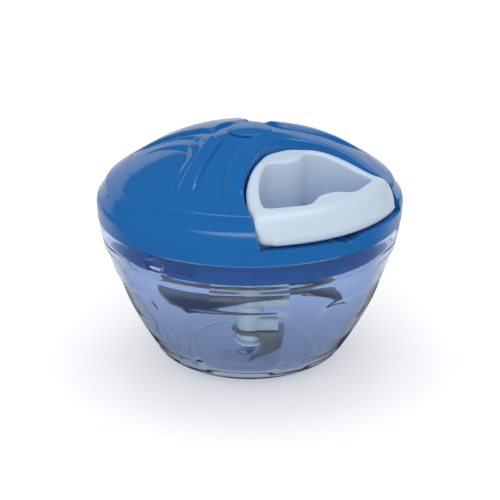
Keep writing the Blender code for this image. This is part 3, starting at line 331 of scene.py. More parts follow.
def braidedCord(name, look):
    # the strand pattern is a value on the cord's own points: gaps between strands are painted darker as shade
    material, tree, shader = newMaterial(name)
    weave = addNode(tree, "ShaderNodeAttribute", attribute_name="weave").outputs["Fac"]
    fuzz = noiseNode(tree, addNode(tree, "ShaderNodeTexCoord").outputs["Object"], *look["fuzz"])
    linkShader(tree, shader, mixColour(tree, weave, look["gap"], look["strand"]),
               mapRange(tree, fuzz, 0.0, 1.0, look["smooth"], look["rough"]),
               bumpNode(tree, look["bump"], look["depth"], fuzz))
    return material


# scale per metre with the detail, and the bump's strength with its depth in metres
scratchLook = {"noise": (900.0, 4.0), "bump": 0.15, "depth": 0.0001}


def steel(name, look):
    # rolled steel: long fine scratches across the blade that change the gloss and the surface
    material, tree, shader = newMaterial(name)
    place = addNode(tree, "ShaderNodeTexCoord").outputs["Object"]
    stretched = addNode(tree, "ShaderNodeMapping", [("Vector", place), ("Scale", look["scratch"])])
    lines = noiseNode(tree, stretched.outputs["Vector"], *scratchLook["noise"])
    linkShader(tree, shader, mixColour(tree, lines, look["dark"], look["light"]),
               mapRange(tree, lines, 0.0, 1.0, look["smooth"], look["rough"]),
               bumpNode(tree, scratchLook["bump"], scratchLook["depth"], lines))
    shader.inputs["Metallic"].default_value = 1.0
    return material


# the lid's strong edge shading paints highlights along its ridges and shade in its creases
lidBlue = mouldedPlastic("lidBlue", {"color": (0.013, 0.142, 0.43), "roughness": 0.07, "cloud": 0.06,
                                     "grain": 0.03, "edgeShading": 0.8})
baseBlue = mouldedPlastic("baseBlue", {"color": (0.012, 0.17, 0.46), "roughness": 0.25, "cloud": 0.08,
                                       "grain": 0.04})
handleWhite = mouldedPlastic("handleWhite", {"color": (0.61, 0.73, 0.87), "roughness": 0.30, "cloud": 0.04,
                                             "grain": 0.05, "edgeShading": 0.1})
partWhite = mouldedPlastic("partWhite", {"color": (0.70, 0.76, 0.68), "roughness": 0.4, "cloud": 0.03,
                                         "grain": 0.08})
innerWhite = mouldedPlastic("innerWhite", {"color": (0.74, 0.75, 0.76), "roughness": 0.45, "cloud": 0.04,
                                           "grain": 0.1})
sealGrey = mouldedPlastic("sealGrey", {"color": (0.75, 0.78, 0.80), "roughness": 0.6, "cloud": 0.05,
                                       "grain": 0.2})
# the darker gap colour is painted shade between the strands of the white cord
cordWhite = braidedCord("cordWhite", {"strand": (0.85, 0.85, 0.83), "gap": (0.42, 0.42, 0.44),
                                      "fuzz": (3000.0, 2.0), "bump": 0.4, "depth": 0.0001,
                                      "smooth": 0.6, "rough": 0.9})
bowlClear = clearPlastic("bowlClear", {"color": (0.50, 0.59, 0.78), "roughness": 0.03, "cloud": 0.01,
                                       "grain": 0.01, "ior": 1.28, "edgeShading": 0.0, "clear": 0.98})
bladeSteel = steel("bladeSteel", {"dark": (0.26, 0.24, 0.21), "light": (0.48, 0.44, 0.38), "smooth": 0.26,
                                  "rough": 0.42, "scratch": (1.0, 0.06, 1.0)})
pinSteel = steel("pinSteel", {"dark": (0.50, 0.51, 0.53), "light": (0.68, 0.69, 0.71), "smooth": 0.2,
                              "rough": 0.35, "scratch": (1.0, 1.0, 0.08)})
springSteel = steel("springSteel", {"dark": (0.28, 0.29, 0.31), "light": (0.42, 0.43, 0.45), "smooth": 0.25,
                                    "rough": 0.4, "scratch": (1.0, 1.0, 0.08)})
print("materials made")


# Handle outline, shared by the handle and by its pocket in the lid

# all in mm: half and hole are given across and away from the axle, and top by distance from the axle
# and height above the rim
handleShape = {
    "half": [(0, 16.5), (3.8, 16.6), (6.8, 17.3), (9.5, 18.6), (15.3, 21.8), (21.0, 25.3), (26.8, 30.2),
             (30.9, 35.8), (33.6, 41.2), (35.0, 44.9), (35.3, 47.2), (34.6, 49.4), (32.4, 51.9)],
    "hole": [(0, 27.3), (3.7, 26.8), (6.8, 25.2), (9.8, 24.0), (13.0, 24.9), (17.9, 28.4), (22.2, 32.7),
             (25.6, 37.6), (27.5, 42.0), (26.3, 44.6), (23.2, 46.3), (18.5, 48.2), (13.3, 50.2),
             (9.9, 50.2), (6.8, 48.7), (3.7, 47.4), (0, 47.2)],
    "top": [(0, 31.9), (16, 31.0), (21.5, 30.5), (27, 29.8), (32.4, 28.1), (39, 25.2), (44, 22.9), (50, 21),
            (54.5, 20.5), (56.6, 19.6), (58.5, 17.4), (60.0, 14.6), (60.9, 13.0), (61.6, 12.2), (62.4, 11.4)],
    "frontRadius": 61.7, "cornerDrop": (27.0, 36.0, 1.4), "base": 7.6, "rim": 1.3, "sideRim": 1.6,
    "lowRim": 3.0, "baseRim": 0.4, "apex": (0, -16.5), "middle": (0, -38.0),
    "arcShares": (0.97, 0.9, 0.75, 0.5, 0.25, 0.0),
    "count": 420, "roundCount": 8, "topPoints": 300, "topCount": 16, "wallCount": 12}


def handleOutline(count):
    # the half outline, then an arc at the front radius to the middle, mirrored and smoothed
    start = math.atan2(*handleShape["half"][-1])
    reach = handleShape["frontRadius"]
    arc = [(reach * math.sin(start * share), reach * math.cos(start * share))
           for share in handleShape["arcShares"]]
    whole = bothSides(handleShape["half"] + arc)
    return smoothLine(whole, count, closed=True) * [1, -1]


# Lid cover: a turned profile with a collar round the pocket, ridges, a rib at the back and sunk leaves

# lines are distances from the axle with heights above the rim, in mm, and turns are in degrees
coverShape = {
    "dome": [(0, 36.5), (6, 36.35), (12, 35.5), (20, 33.8), (26, 32.3), (32, 30.4), (38, 27.8), (44, 24.7),
             (50, 21.2)],
    "crisp": [(50, 21.2), (53.5, 20.1), (56.0, 19.7), (57.0, 19.4), (57.5, 18.6), (57.8, 17.4), (58.3, 15.8),
              (59.3, 13.8), (60.5, 12.2), (61.6, 10.6)],
    "round": [(50, 21.2), (52.5, 19.7), (55.0, 18.0), (57.0, 16.5), (58.6, 15.2), (59.3, 14.2), (59.8, 13.2),
              (60.4, 12.1), (61.1, 10.9), (61.8, 9.9)],
    "skirt": [(61.8, 10.2), (62.4, 9.0), (62.7, 7.9), (62.75, 6.5), (62.6, 4.0), (62.45, 1.2), (62.15, 0.4)],
    "crispTurns": (-205, -150, -70, -42),
    "inside": [(60.4, 0.3), (60.2, 0.6), (60.2, 5.0), (60.2, 9.0), (59.0, 11.0), (57.2, 12.0), (56.0, 13.4),
               (55.0, 15.6), (54.0, 17.0)],
    "wall": 2.2, "columns": 480, "domeReach": 50, "domeRows": 110, "shoulderRows": 60, "skirtRows": 20,
    "insideRows": 16, "tubSlope": (5.0, 3.5), "sharp": 38, "wing": (0.5, math.cos(math.radians(30))),
    "collarStep": 0.5, "ridgeStep": 0.6, "leafStep": 0.8,
    "ridgeBlend": 2.0, "endBlend": 3.0, "leafBlend": 5.0,
    "channel": 0.7, "fade": (38, 54), "collar": (8.8, 1.1), "ridgeBand": (7.0, 13.6),
    "ridgeStart": (15.2, 11.0), "ridgeRise": 1.4, "backStart": 14.6, "backRise": 1.4,
    "leafNear": (13.6, 16.8), "leafDepths": (0.8, 1.5), "leafFade": (47, 20, 1.5), "leafMost": 1.1,
    "leafBack": (-20, 5.0, 10.6, 15.9, 25.4, 32.0, 39.6, 50.0),
    "leafFar": ((20.0, 20.0, 17.5, 16.5, 19.5, 24.5, 31.0, 42.0),
                (26.0, 26.0, 23.6, 24.0, 28.1, 36.0, 43.0, 53.0)),
    "ribBack": (0, 10, 18, 25, 33, 45), "ribHalf": (9.3, 9.5, 11.0, 15.5, 21.0, 31.0), "ribOff": 99,
    "pocketGap": 0.9, "pocketFloor": 5.5, "lip": 6.8, "lipReach": (59.0, 61.0), "tubBase": 2.7, "edge": 1.3,
    "edgeFade": (46, 56), "edgeLeast": 0.01, "edgeLean": 14.0, "flare": 2.5, "cutterTop": 60.0,
    "floorRound": ((0.6, 0), (0.2, 0.15), (0, 0.6)), "mouth": ((35.9, 50.0), (36.4, 55.0), (36.8, 70.0)),
    "scoopRadius": 16.0, "scoopDepth": 1.3, "scoopSpan": (-56.0, -66.0),
    "capRadius": 9.0, "capFloor": 35.0, "capMouth": (36.0, 40.0, 0.8),
    "guideRadius": 2.9, "guideSpan": (-11.0, -17.0), "guideColumns": 48, "cutterColumns": 96,
    "pathCount": 260, "roundCount": 9, "slopeReach": 1.5, "lineCount": 400, "outlineCount": 220}
crispLine = smoothLine(coverShape["dome"] + coverShape["crisp"][1:4], coverShape["lineCount"])
roundLine = smoothLine(coverShape["dome"] + coverShape["round"][1:5], coverShape["lineCount"])
pocketLine = handleOutline(coverShape["outlineCount"])


def coverRelief(x, y):
    # levels against the dome, each a soft step at the distance inside its outline: a channel all over,
    # and on it a collar round the pocket, a ridge behind each side of the collar and a rib at the
    # back; two nested leaves are sunk behind each ridge; all fade out towards the shoulder
    shape = coverShape
    radius, far = np.hypot(x, y), np.abs(x)
    behind = far * shape["wing"][0] + y * shape["wing"][1]
    reach, rise = shape["collar"]
    step, blend = shape["collarStep"], shape["ridgeBlend"]
    relief = -shape["channel"] + rise * softStep(-step, step, reach - awayFrom(pocketLine, x, y))
    near, last = shape["ridgeBand"]
    ridge = softMin(softMin(behind - near, last - behind, blend),
                    softMin(radius - shape["ridgeStart"][0], far - shape["ridgeStart"][1], blend),
                    shape["endBlend"])
    step = shape["ridgeStep"]
    relief = relief + shape["ridgeRise"] * softStep(-step, step, ridge)
    half = np.interp(y, shape["ribBack"], shape["ribHalf"])
    sides = half - np.where(y > 0, far, shape["ribOff"])
    rib = softMin(sides, radius - shape["backStart"], shape["endBlend"])
    relief = relief + shape["backRise"] * softStep(-step, step, rib)
    relief = relief * (1 - softStep(*shape["fade"], radius))
    end, length, power = shape["leafFade"]
    shallow = np.clip((end - radius) / length, 0, shape["leafMost"]) ** power
    for nearEdge, farLine, depth in zip(shape["leafNear"], shape["leafFar"], shape["leafDepths"]):
        farEdge = np.interp(y, shape["leafBack"], farLine)
        leaf = softMin(behind - nearEdge, far - farEdge, shape["leafBlend"])
        relief = relief - depth * shallow * softStep(-shape["leafStep"], shape["leafStep"], leaf)
    return relief


def crispShare(turn):
    # 1 where the shoulder is a crisp edge, each side of the pocket, 0 where it is rounded off
    start, full, last, end = (math.radians(value) for value in coverShape["crispTurns"])
    turn = (turn - start) % math.tau + start
    return softStep(start, full, turn) * (1 - softStep(last, end, turn))


def coverHeight(x, y):
    # the crisp and the rounded profile mixed by the share at each turn, plus the relief
    radius = np.hypot(x, y)
    share = crispShare(np.arctan2(y, x))
    crisp = np.interp(radius, crispLine[:, 0], crispLine[:, 1])
    soft = np.interp(radius, roundLine[:, 0], roundLine[:, 1])
    return crisp * share + soft * (1 - share) + coverRelief(x, y)


def makeCover():
    # out over the dome, down the shoulder and the skirt, up inside and back to the axle a wall's
    # thickness under the dome; this lining is pressed down to the tub's base under the pocket
    shape = coverShape
    radii = np.linspace(0, shape["domeReach"], shape["domeRows"])
    turn = np.linspace(0, math.tau, shape["columns"], endpoint=False)
    x, y = radii[:, None] * np.cos(turn), radii[:, None] * np.sin(turn)
    dome = np.stack([x, y, coverHeight(x, y)], -1)
    crisp, soft = (smoothLine(shape[key], shape["shoulderRows"])[1:, :, None] for key in ("crisp", "round"))
    share = crispShare(turn)
    radius, height = (crisp * share + soft * (1 - share)).transpose(1, 0, 2)
    shoulder = around(radius, height, turn)
    rim = turned(smoothLine(shape["skirt"], shape["skirtRows"])[1:], shape["columns"])
    skirt = np.concatenate([shoulder, rim])
    inside = turned(smoothLine(shape["inside"], shape["insideRows"]), shape["columns"])
    lining = dome[::-4][3:] - [0, 0, shape["wall"]]      # every fourth row, from inside the shoulder
    inner = np.concatenate([inside, lining])
    tub = softStep(*shape["tubSlope"], awayFrom(pocketLine, inner[..., 0], inner[..., 1]))
    inner[..., 2] -= tub * np.clip(inner[..., 2] - shape["tubBase"], 0, None)
    grid = np.concatenate([dome, skirt, inner])
    grid[..., 1] = np.maximum(grid[..., 1], cadBox[0].y / mm)      # no further forward than the CAD
    grid[..., 2] += rimLevel
    cover = newObject("cover", grid)
    for cutter in (makePocketCutter(), makeScoopCutter(), makeCapCutter(), makeGuideCutter()):
        step = cover.modifiers.new(cutter.name, "BOOLEAN")
        step.operation = "DIFFERENCE"
        step.solver = "EXACT"
        step.object = cutter
    applyModifiers(cover)
    smoothShade(cover.data, shape["sharp"])
    return cover


def makePocketCutter():
    # walls carried along the pocket's outline, flared over a rounded edge that meets the dome
    shape = coverShape
    half = np.array([*handleShape["half"][:-3], *shape["mouth"]], float)      # straight out at the front
    path = smoothLine(np.vstack([(half * [-1, 1])[:0:-1], half]), shape["pathCount"]) * [1, -1]
    along = np.gradient(path, axis=0)
    along /= np.linalg.norm(along, axis=1, keepdims=True)
    out = np.stack([-along[:, 1], along[:, 0]], -1)
    path = path + out * shape["pocketGap"]
    radius = np.hypot(*path.T)
    edge = shape["edge"] * (1 - softStep(*shape["edgeFade"], radius)) + shape["edgeLeast"]
    height = coverHeight(*path.T)
    reach = shape["slopeReach"]
    slope = (coverHeight(*(path + out * edge[:, None] * reach).T) - height) / (edge * reach)
    lean = np.arctan(slope)
    centre = height + slope * edge - edge / np.cos(lean)
    low, lip = shape["pocketFloor"], shape["lip"]
    floor = low + (lip - low) * softStep(*shape["lipReach"], radius)
    rows = [np.column_stack([path - out * inset, floor + up]) for inset, up in shape["floorRound"]]
    last = math.pi / 2 - lean - math.radians(shape["edgeLean"])
    for share in np.linspace(0, 1, shape["roundCount"]):
        turn = share * last
        rows.append(np.column_stack([path + out * (edge * (1 - np.cos(turn)))[:, None],
                                     centre + edge * np.sin(turn)]))
    flare = shape["flare"]
    rows.append(np.column_stack([rows[-1][:, :2] + out * (flare * np.sin(last))[:, None],
                                 rows[-1][:, 2] + flare * np.cos(last)]))
    rows.append(np.column_stack([rows[-1][:, :2], np.full(len(path), shape["cutterTop"])]))
    rows = [rows[0] * [0, 1, 1]] + rows + [rows[-1] * [0, 1, 1]]
    grid = np.array(rows)
    grid[..., 2] += rimLevel
    return cutterObject("pocketCutter", grid)


def cutterObject(name, grid):
    cutter = newObject(name, grid)
    cutter.hide_render = True
    return cutter


def makeScoopCutter():
    # a cylinder lying along Y, whose underside dips into the pocket's front lip
    shape = coverShape
    level = shape["lip"] - shape["scoopDepth"] + shape["scoopRadius"]
    turn = np.linspace(0, math.tau, shape["cutterColumns"], endpoint=False)
    back, front = shape["scoopSpan"]
    grid = np.array([np.stack([size * shape["scoopRadius"] * np.sin(turn), 0 * turn + y,
                               level + size * shape["scoopRadius"] * np.cos(turn)], -1)
                     for size, y in ((0, back), (1, back), (1, front), (0, front))])
    grid[..., 2] += rimLevel
    return cutterObject("scoopCutter", grid)


def makeCapCutter():
    # a round hole for the cap, flared at its mouth
    shape = coverShape
    low, reach = shape["capFloor"], shape["capRadius"]
    mouth, high, flare = shape["capMouth"]
    grid = turned([(0, low), (reach, low), (reach, mouth), (reach + flare, high), (0, high)],
                  shape["cutterColumns"])
    grid[..., 2] += rimLevel
    return cutterObject("capCutter", grid)


def makeGuideCutter():
    # a cylinder lying along Y, round the cord guide in the pocket's back wall
    low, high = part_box("cord_guide")
    level = (low.z + high.z) / 2 / mm
    reach, (back, front) = coverShape["guideRadius"], coverShape["guideSpan"]
    turn = np.linspace(0, math.tau, coverShape["guideColumns"], endpoint=False)
    grid = np.array([np.stack([size * np.sin(turn), 0 * turn + y, level + size * np.cos(turn)], -1)
                     for size, y in ((0, back), (reach, back), (reach, front), (0, front))])
    return cutterObject("guideCutter", grid)


cover = makeCover()
settle(cover, lidBlue, "lid", "blue_plastic", "top_cover")
for item in [o for o in bpy.data.objects if o.name.endswith("Cutter")]:
    bpy.data.objects.remove(item)
print("cover made:", len(cover.data.polygons), "faces")


# Cap in the middle of the dome

# distances from the axle in mm, with heights above the cap's underside for the foot, and above the
# bowl's rim for the top
capShape = {"foot": ((8.5, 0.0), (8.7, 0.2)), "rows": 40, "columns": 96,
            "top": [(8.7, 36.0), (8.5, 36.45), (8.0, 36.68), (6, 36.9), (3, 37.18), (0, 37.28)]}


def makeCap():
    # a profile from the foot over the rounded rim to the middle, turned round Z
    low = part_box("axle_cap")[0].z / mm - rimLevel
    foot = [(reach, low + up) for reach, up in capShape["foot"]]
    profile = smoothLine(foot + capShape["top"], capShape["rows"])
    grid = turned(np.vstack([[(0, low)], profile]), capShape["columns"])
    grid[..., 2] += rimLevel
    return newObject("cap", grid)


settle(makeCap(), lidBlue, "lid", "blue_plastic", "axle_cap")


# Handle: a closed section carried round the handle, from its outer outline to the finger hole

def makeHandle():
    # between the two outlines: a round over the outer edge, the top face, a round into the finger
    # hole, the hole's wall, the under face, a round under the outer edge and the outer wall
    shape = handleShape
    count = shape["count"]
    outer = handleOutline(count)
    outer = np.roll(outer, -np.argmin(np.linalg.norm(outer - shape["apex"], axis=1)), axis=0)
    hole = matchTurns(outer, smoothLine(bothSides(shape["hole"]), count, closed=True) * [1, -1])
    top = smoothLine(shape["top"], shape["topPoints"])
    width = np.linalg.norm(hole - outer, axis=1)
    inward = (hole - outer) / width[:, None]
    rim, sideRim, lowRim, base = (shape[key] for key in ("rim", "sideRim", "lowRim", "base"))
    quarter = np.linspace(0, math.pi / 2, shape["roundCount"])
    rows = []
    for turn in quarter:
        point = outer + inward * sideRim * (1 - math.cos(turn))
        rows.append(np.column_stack([point, topLevel(top, point) - sideRim * (1 - math.sin(turn))]))
    for share in np.linspace(0, 1, shape["topCount"])[1:-1]:
        point = outer + inward * (sideRim + (width - sideRim - rim) * share)[:, None]
        rows.append(np.column_stack([point, topLevel(top, point)]))
    for turn in quarter[::-1]:
        point = hole - inward * rim * (1 - math.cos(turn))
        rows.append(np.column_stack([point, topLevel(top, point) - rim * (1 - math.sin(turn))]))
    wall = rows[-1][:, 2]
    for share in np.linspace(1, 0, shape["wallCount"])[1:-1]:
        rows.append(np.column_stack([hole, base + (wall - base) * share]))
    rows.append(np.column_stack([hole - inward * shape["baseRim"], np.full(count, base)]))
    rows.append(np.column_stack([(hole + outer) / 2, np.full(count, base)]))
    for turn in quarter[::-1]:
        point = outer + inward * lowRim * (1 - math.cos(turn))
        rows.append(np.column_stack([point, np.full(count, base + lowRim * (1 - math.sin(turn)))]))
    for share in np.linspace(0, 1, shape["wallCount"])[1:-1]:
        rows.append(np.column_stack([outer, base + lowRim + (rows[0][:, 2] - base - lowRim) * share]))
    grid = np.array(rows)
    grid[..., 2] = np.maximum(grid[..., 2], base) + rimLevel
    return newObject("pullHandle", grid, wrapRows=True)


def topLevel(top, point):
    # by distance from the axle, and a little lower toward the two front corners
    start, end, drop = handleShape["cornerDrop"]
    level = np.interp(np.hypot(*point.T), top[:, 0], top[:, 1])
    return level - drop * softStep(start, end, np.abs(point[:, 0]))


def matchTurns(outer, hole):
    # the hole's points, spaced so that each lies on one ray from the middle with its outer point
    middle = np.array(handleShape["middle"])
    turnOf = [np.unwrap(np.arctan2(*(line - middle).T)) for line in (outer, hole)]
    if turnOf[0][-1] < turnOf[0][0]:
        turnOf = [-turn for turn in turnOf]
    turnOf[1] += round((turnOf[0][0] - turnOf[1][0]) / math.tau) * math.tau
    again = np.concatenate([turnOf[1] - math.tau, turnOf[1], turnOf[1] + math.tau])
    points = np.vstack([hole, hole, hole])
    return np.stack([np.interp(turnOf[0], again, points[:, k]) for k in range(2)], -1)


pullHandle = makeHandle()
settle(pullHandle, handleWhite, "handle", "handle_plastic", "handle")
print("handle made")


# Bowl: one closed section turned round, with six sunk panels and three rim lugs

# lines are distances from the axle with heights above the floor, in mm, and turns are in degrees
bowlShape = {
    "outer": [(29.6, 0.0), (30.1, 0.12), (30.5, 0.5), (31.6, 0.9), (34.8, 2.5), (38.0, 5.0), (40.0, 7.5),
              (42.1, 10.5), (43.9, 13.5), (45.7, 16.5), (47.3, 19.5), (49.4, 23.5), (51.3, 27.5),
              (52.9, 31.5), (54.3, 35.5), (55.7, 39.5), (57.1, 43.5), (58.3, 47.0), (58.9, 48.8),
              (60.1, 51.0), (60.6, 53.0), (61.2, 56.0), (61.7, 58.5), (61.9, 60.9), (61.75, 61.5)],
    "inner": [(59.5, 61.5), (59.3, 61.0), (58.8, 56.0), (58.0, 53.0), (57.3, 51.0), (56.2, 48.4),
              (54.7, 43.8), (51.9, 36.0), (50.4, 32.0), (48.8, 28.2), (46.9, 24.4), (43.4, 17.8),
              (41.6, 14.8), (39.8, 12.0), (37.9, 9.5), (36.3, 7.5), (33.8, 5.3), (30.6, 3.9), (26.0, 3.1)],
    "floor": [(4.9, 3.1), (4.5, 3.4), (4.5, 4.6), (1.9, 4.6), (1.9, 1.7), (0, 1.7)],
    "under": [(0, 0.8), (26.4, 0.8), (26.8, 0.4), (27.0, 0.0)],
    "columns": 480, "outerRows": 110, "innerRows": 90, "sharp": 40,
    "panels": 6, "panelTurn": -135.5, "panelLow": 6.0, "panelHigh": 39.6, "panelDepth": 0.7,
    "panelTop": 23.0, "panelBase": 16.5, "panelStep": (-1.0, 1.6), "panelBlend": 8.0,
    "lugTurns": (-169, -49, 71), "lugLevel": 56.5, "lugLength": 8.3, "lugHeight": 3.5, "lugReach": 2.3,
    "lugPlace": 58, "lugStep": (0.4, -0.4)}


def makeBowl():
    # the outer line less the panels' depth and the inner line less the lugs' rise, turned round Z, and
    # closed by the under side of the foot and by the floor with the seat of the pin
    shape = bowlShape
    outer = smoothLine(shape["outer"], shape["outerRows"])
    inner = smoothLine(shape["inner"], shape["innerRows"])
    floor = np.array(shape["floor"], float)
    under = np.array(shape["under"], float)
    turn = np.linspace(0, math.tau, shape["columns"], endpoint=False)
    reach, level = outer.T[:, :, None]
    panel = panelDepth(turn[None], reach, level)
    outside = around(reach - panel, level, turn)
    reach, level = inner.T[:, :, None]
    inside = around(reach - lugRise(turn[None], level), level, turn)
    grid = np.concatenate([turned(under, shape["columns"]), outside, inside, turned(floor, shape["columns"])])
    return newObject("clearBowl", grid, sharp=shape["sharp"])


def panelDepth(turn, reach, level):
    # a trapezoid with soft sides in each sixth of the turn
    shape = bowlShape
    sixth = math.tau / shape["panels"]
    offset = (turn - math.radians(shape["panelTurn"]) + sixth / 2) % sixth - sixth / 2
    up = (level - shape["panelLow"]) / (shape["panelHigh"] - shape["panelLow"])
    half = shape["panelBase"] + (shape["panelTop"] - shape["panelBase"]) * up
    sides = half - np.abs(offset * reach)
    ends = np.minimum(level - shape["panelLow"], shape["panelHigh"] - level)
    return shape["panelDepth"] * softStep(*shape["panelStep"], softMin(sides, ends, shape["panelBlend"]))


def lugRise(turn, level):
    # round-ended blocks standing in from the wall
    shape = bowlShape
    rise = 0
    for middle in shape["lugTurns"]:
        offset = (turn - math.radians(middle) + math.pi) % math.tau - math.pi
        radius = shape["lugHeight"] / 2
        along = np.clip(np.abs(offset * shape["lugPlace"]) - (shape["lugLength"] / 2 - radius), 0, None)
        rise = rise + softStep(*shape["lugStep"], np.hypot(along, level - shape["lugLevel"]) - radius)
    return shape["lugReach"] * rise


clearBowl = makeBowl()
settle(clearBowl, bowlClear, "bowl", "clear_plastic", "bowl")
clearBowl.visible_shadow = False      # lamps reach the blades through the clear wall
print("bowl made")


# Inner pieces: the CAD shapes with their edges rounded

# the width in mm, the angles in degrees, and the distance that points are merged within in metres
roundEdge = {"width": 0.3, "segments": 2, "from": 40, "sharp": 35, "flat": 1, "merge": 1e-6}


def roundedCopy(node, material, slot):
    # the node's mesh with its points merged, its flat faces joined again and its edges bevelled
    piece = bpy.data.objects.new(node + "_shape", frame["nodes"][node].data.copy())
    bpy.context.scene.collection.objects.link(piece)
    shape = bmesh.new()
    shape.from_mesh(piece.data)
    bmesh.ops.remove_doubles(shape, verts=shape.verts, dist=roundEdge["merge"])
    bmesh.ops.dissolve_limit(shape, angle_limit=math.radians(roundEdge["flat"]), verts=shape.verts,
                             edges=shape.edges)
    shape.to_mesh(piece.data)
    shape.free()
    bevel = piece.modifiers.new("edges", "BEVEL")
    bevel.width = roundEdge["width"] * mm
    bevel.segments = roundEdge["segments"]
    bevel.limit_method = "ANGLE"
    bevel.angle_limit = math.radians(roundEdge["from"])
    applyModifiers(piece)
    smoothShade(piece.data, roundEdge["sharp"])
    settle(piece, material, "blades", slot, node)
    return piece


# what stands in the clear bowl
innerPieces = [roundedCopy(node, partWhite, "white_plastic") for node in
               ("holder_upper_high", "holder_upper_low", "holder_lower_high", "holder_lower_low",
                "blade_shaft", "shaft_foot")]
innerPieces += [roundedCopy(node, bladeSteel, "blade_steel") for node in ("blade_upper", "blade_lower")]

plainFinish = {
    "lid_base": baseBlue, "mechanism_case": innerWhite, "clutch_cup": innerWhite, "cord_reel": innerWhite,
    "cord_guide": innerWhite, "pawl_1": innerWhite, "pawl_2": innerWhite, "lid_seal": sealGrey,
    "axle_pin": pinSteel, "bowl_pin": pinSteel, "recoil_spring": springSteel}
for index in (1, 2, 3):
    plainFinish[f"case_screw_{index}"] = pinSteel
    plainFinish[f"cover_screw_{index}"] = pinSteel
for node, finish in plainFinish.items():
    data = frame["nodes"][node].data
    data.materials.clear()
    data.materials.append(finish)
print("inner pieces made")


# Cord: on the drum, from the drum to the guide, from the guide to the handle, and its knot

# lengths in mm, except windEnd and feedStart in radii of the cord, and relief as a share of its radius
cordShape = {"radius": 0.75, "level": 78.05, "firstTurn": 65.05, "turns": 6.5, "drum": 9.65, "corner": 13.19,
             "feedEnd": 13.37, "leadStart": 13.67, "leadEnd": 23.54, "knotMiddle": 26.04, "knotRadius": 2.2,
             "strands": 8, "sides": 16, "pitch": 4.2, "relief": 0.07, "step": 0.3, "windPoints": 200,
             "windEnd": 2, "feedStart": 2.4, "cornerRound": (1.4, 0.4), "leadPoints": 12,
             "knotPoints": 60, "knotTilt": 0.2, "knotDepth": 1.1, "leastPoints": 8}


def strandHeight(along, turn):
    # two sets of strands wound opposite ways, the higher one seen at each point
    shape = cordShape
    lay = along / shape["pitch"] * math.tau
    half = shape["strands"] / 2
    return np.maximum(np.cos(half * turn + lay), np.cos(half * turn - lay))


def makeBraid(name, route, sides=(0, 0, 1)):
    # a circle carried along the route, square to it, with the strands standing out of it
    shape = cordShape
    length = np.linalg.norm(np.diff(route, axis=0), axis=1).sum()
    path = smoothLine(route, max(int(length / shape["step"]), shape["leastPoints"]))
    along = np.gradient(path, axis=0)
    along /= np.linalg.norm(along, axis=1, keepdims=True)
    across = np.cross(along, sides)
    across /= np.linalg.norm(across, axis=1, keepdims=True)
    upward = np.cross(across, along)
    turn = np.linspace(0, math.tau, shape["sides"], endpoint=False)
    run = np.linspace(0, length, len(path))[:, None]
    height = strandHeight(run, turn[None])
    reach = (shape["radius"] * (1 - shape["relief"] * (1 - height)))[..., None]
    circle = across[:, None] * np.cos(turn)[:, None] + upward[:, None] * np.sin(turn)[:, None]
    grid = path[:, None] + reach * circle
    ends = [np.repeat(path[k][None, None], shape["sides"], axis=1) for k in (0, -1)]
    weave = np.clip(0.5 + 0.5 * height, 0, 1)
    weave = np.vstack([weave[:1], weave, weave[-1:]])
    return newObject(name, np.concatenate([ends[0], grid, ends[1]]), marks={"weave": weave})


def makeKnot():
    # an overhand knot: a trefoil line, pressed flat along the pull, carried by the same cord
    shape = cordShape
    t = np.linspace(0, math.tau, shape["knotPoints"])
    reach = (shape["knotRadius"] - shape["radius"]) / 3.0
    line = np.stack([reach * (np.sin(t) + 2 * np.sin(2 * t)),
                     -shape["knotMiddle"] - reach * shape["knotDepth"] * np.sin(3 * t),
                     shape["level"] + reach * (np.cos(t) - 2 * np.cos(2 * t))], -1)
    return makeBraid("pullKnot", line, sides=(0, 1, shape["knotTilt"]))


def makeCords():
    # even turns rising round the drum, the line that leaves the last one for the middle, and from there
    # straight forward through the guide to the knot in the handle
    shape = cordShape
    leave = -math.pi / 2 - math.acos(shape["drum"] / shape["corner"])
    turn = leave - math.tau * shape["turns"] * np.linspace(1, 0, shape["windPoints"])
    level = np.linspace(shape["firstTurn"], shape["level"], shape["windPoints"])
    turns = np.column_stack([shape["drum"] * np.cos(turn), shape["drum"] * np.sin(turn), level])
    end, corner = turns[-1], np.array([0, -shape["corner"], shape["level"]])
    forward = (corner - end) / np.linalg.norm(corner - end)
    wound = makeBraid("woundCord", np.vstack([turns, end + forward * shape["radius"] * shape["windEnd"]]))
    settle(wound, cordWhite, "reel", "cord", "cord_winding")
    before, after = shape["cornerRound"]
    feed = np.array([end + forward * shape["radius"] * shape["feedStart"], corner - forward * before,
                     corner - forward * after, [0, -shape["feedEnd"], shape["level"]]])
    settle(makeBraid("feedCord", feed), cordWhite, "lid", "cord", "cord_feed")
    run = np.linspace(shape["leadStart"], shape["leadEnd"], shape["leadPoints"])
    lead = makeBraid("leadCord", np.column_stack([0 * run, -run, shape["level"] + 0 * run]))
    lead.data.materials.append(cordWhite)
    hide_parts("cord_lead")
    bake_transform(lead)
    settle(makeKnot(), cordWhite, "handle", "cord", "cord_knot")


makeCords()
print("cord made")


# Stage, light and camera

# backTop, stripLow and stripHigh are ranges of the sine of a ray's rise, and backWidth and stripFront
# of the cosine of its turn away from backTurn, which is in degrees off straight behind the object;
# floorBack, floorHalf and floorReach are lengths in metres, and the rest are strengths and greys
stageLook = {"sky": 0.74, "roomDark": 0.06, "backTurn": -14.0, "backWidth": (0.74, 0.80),
             "backTop": (0.39, 0.35), "backdrop": 0.6, "strip": 4.0, "stripLow": (0.74, 0.84),
             "stripHigh": (0.97, 0.93), "stripFront": (0.1, -0.2),
             "floorSeen": 0.25, "floorThrough": 0.5, "floorPale": (0.9, 0.9, 0.9),
             "floorDark": (0.07, 0.07, 0.07), "floorBack": (0.0, 0.08), "floorSpread": 0.75,
             "floorHalf": 0.2, "floorReach": 6, "floorRough": 0.9}
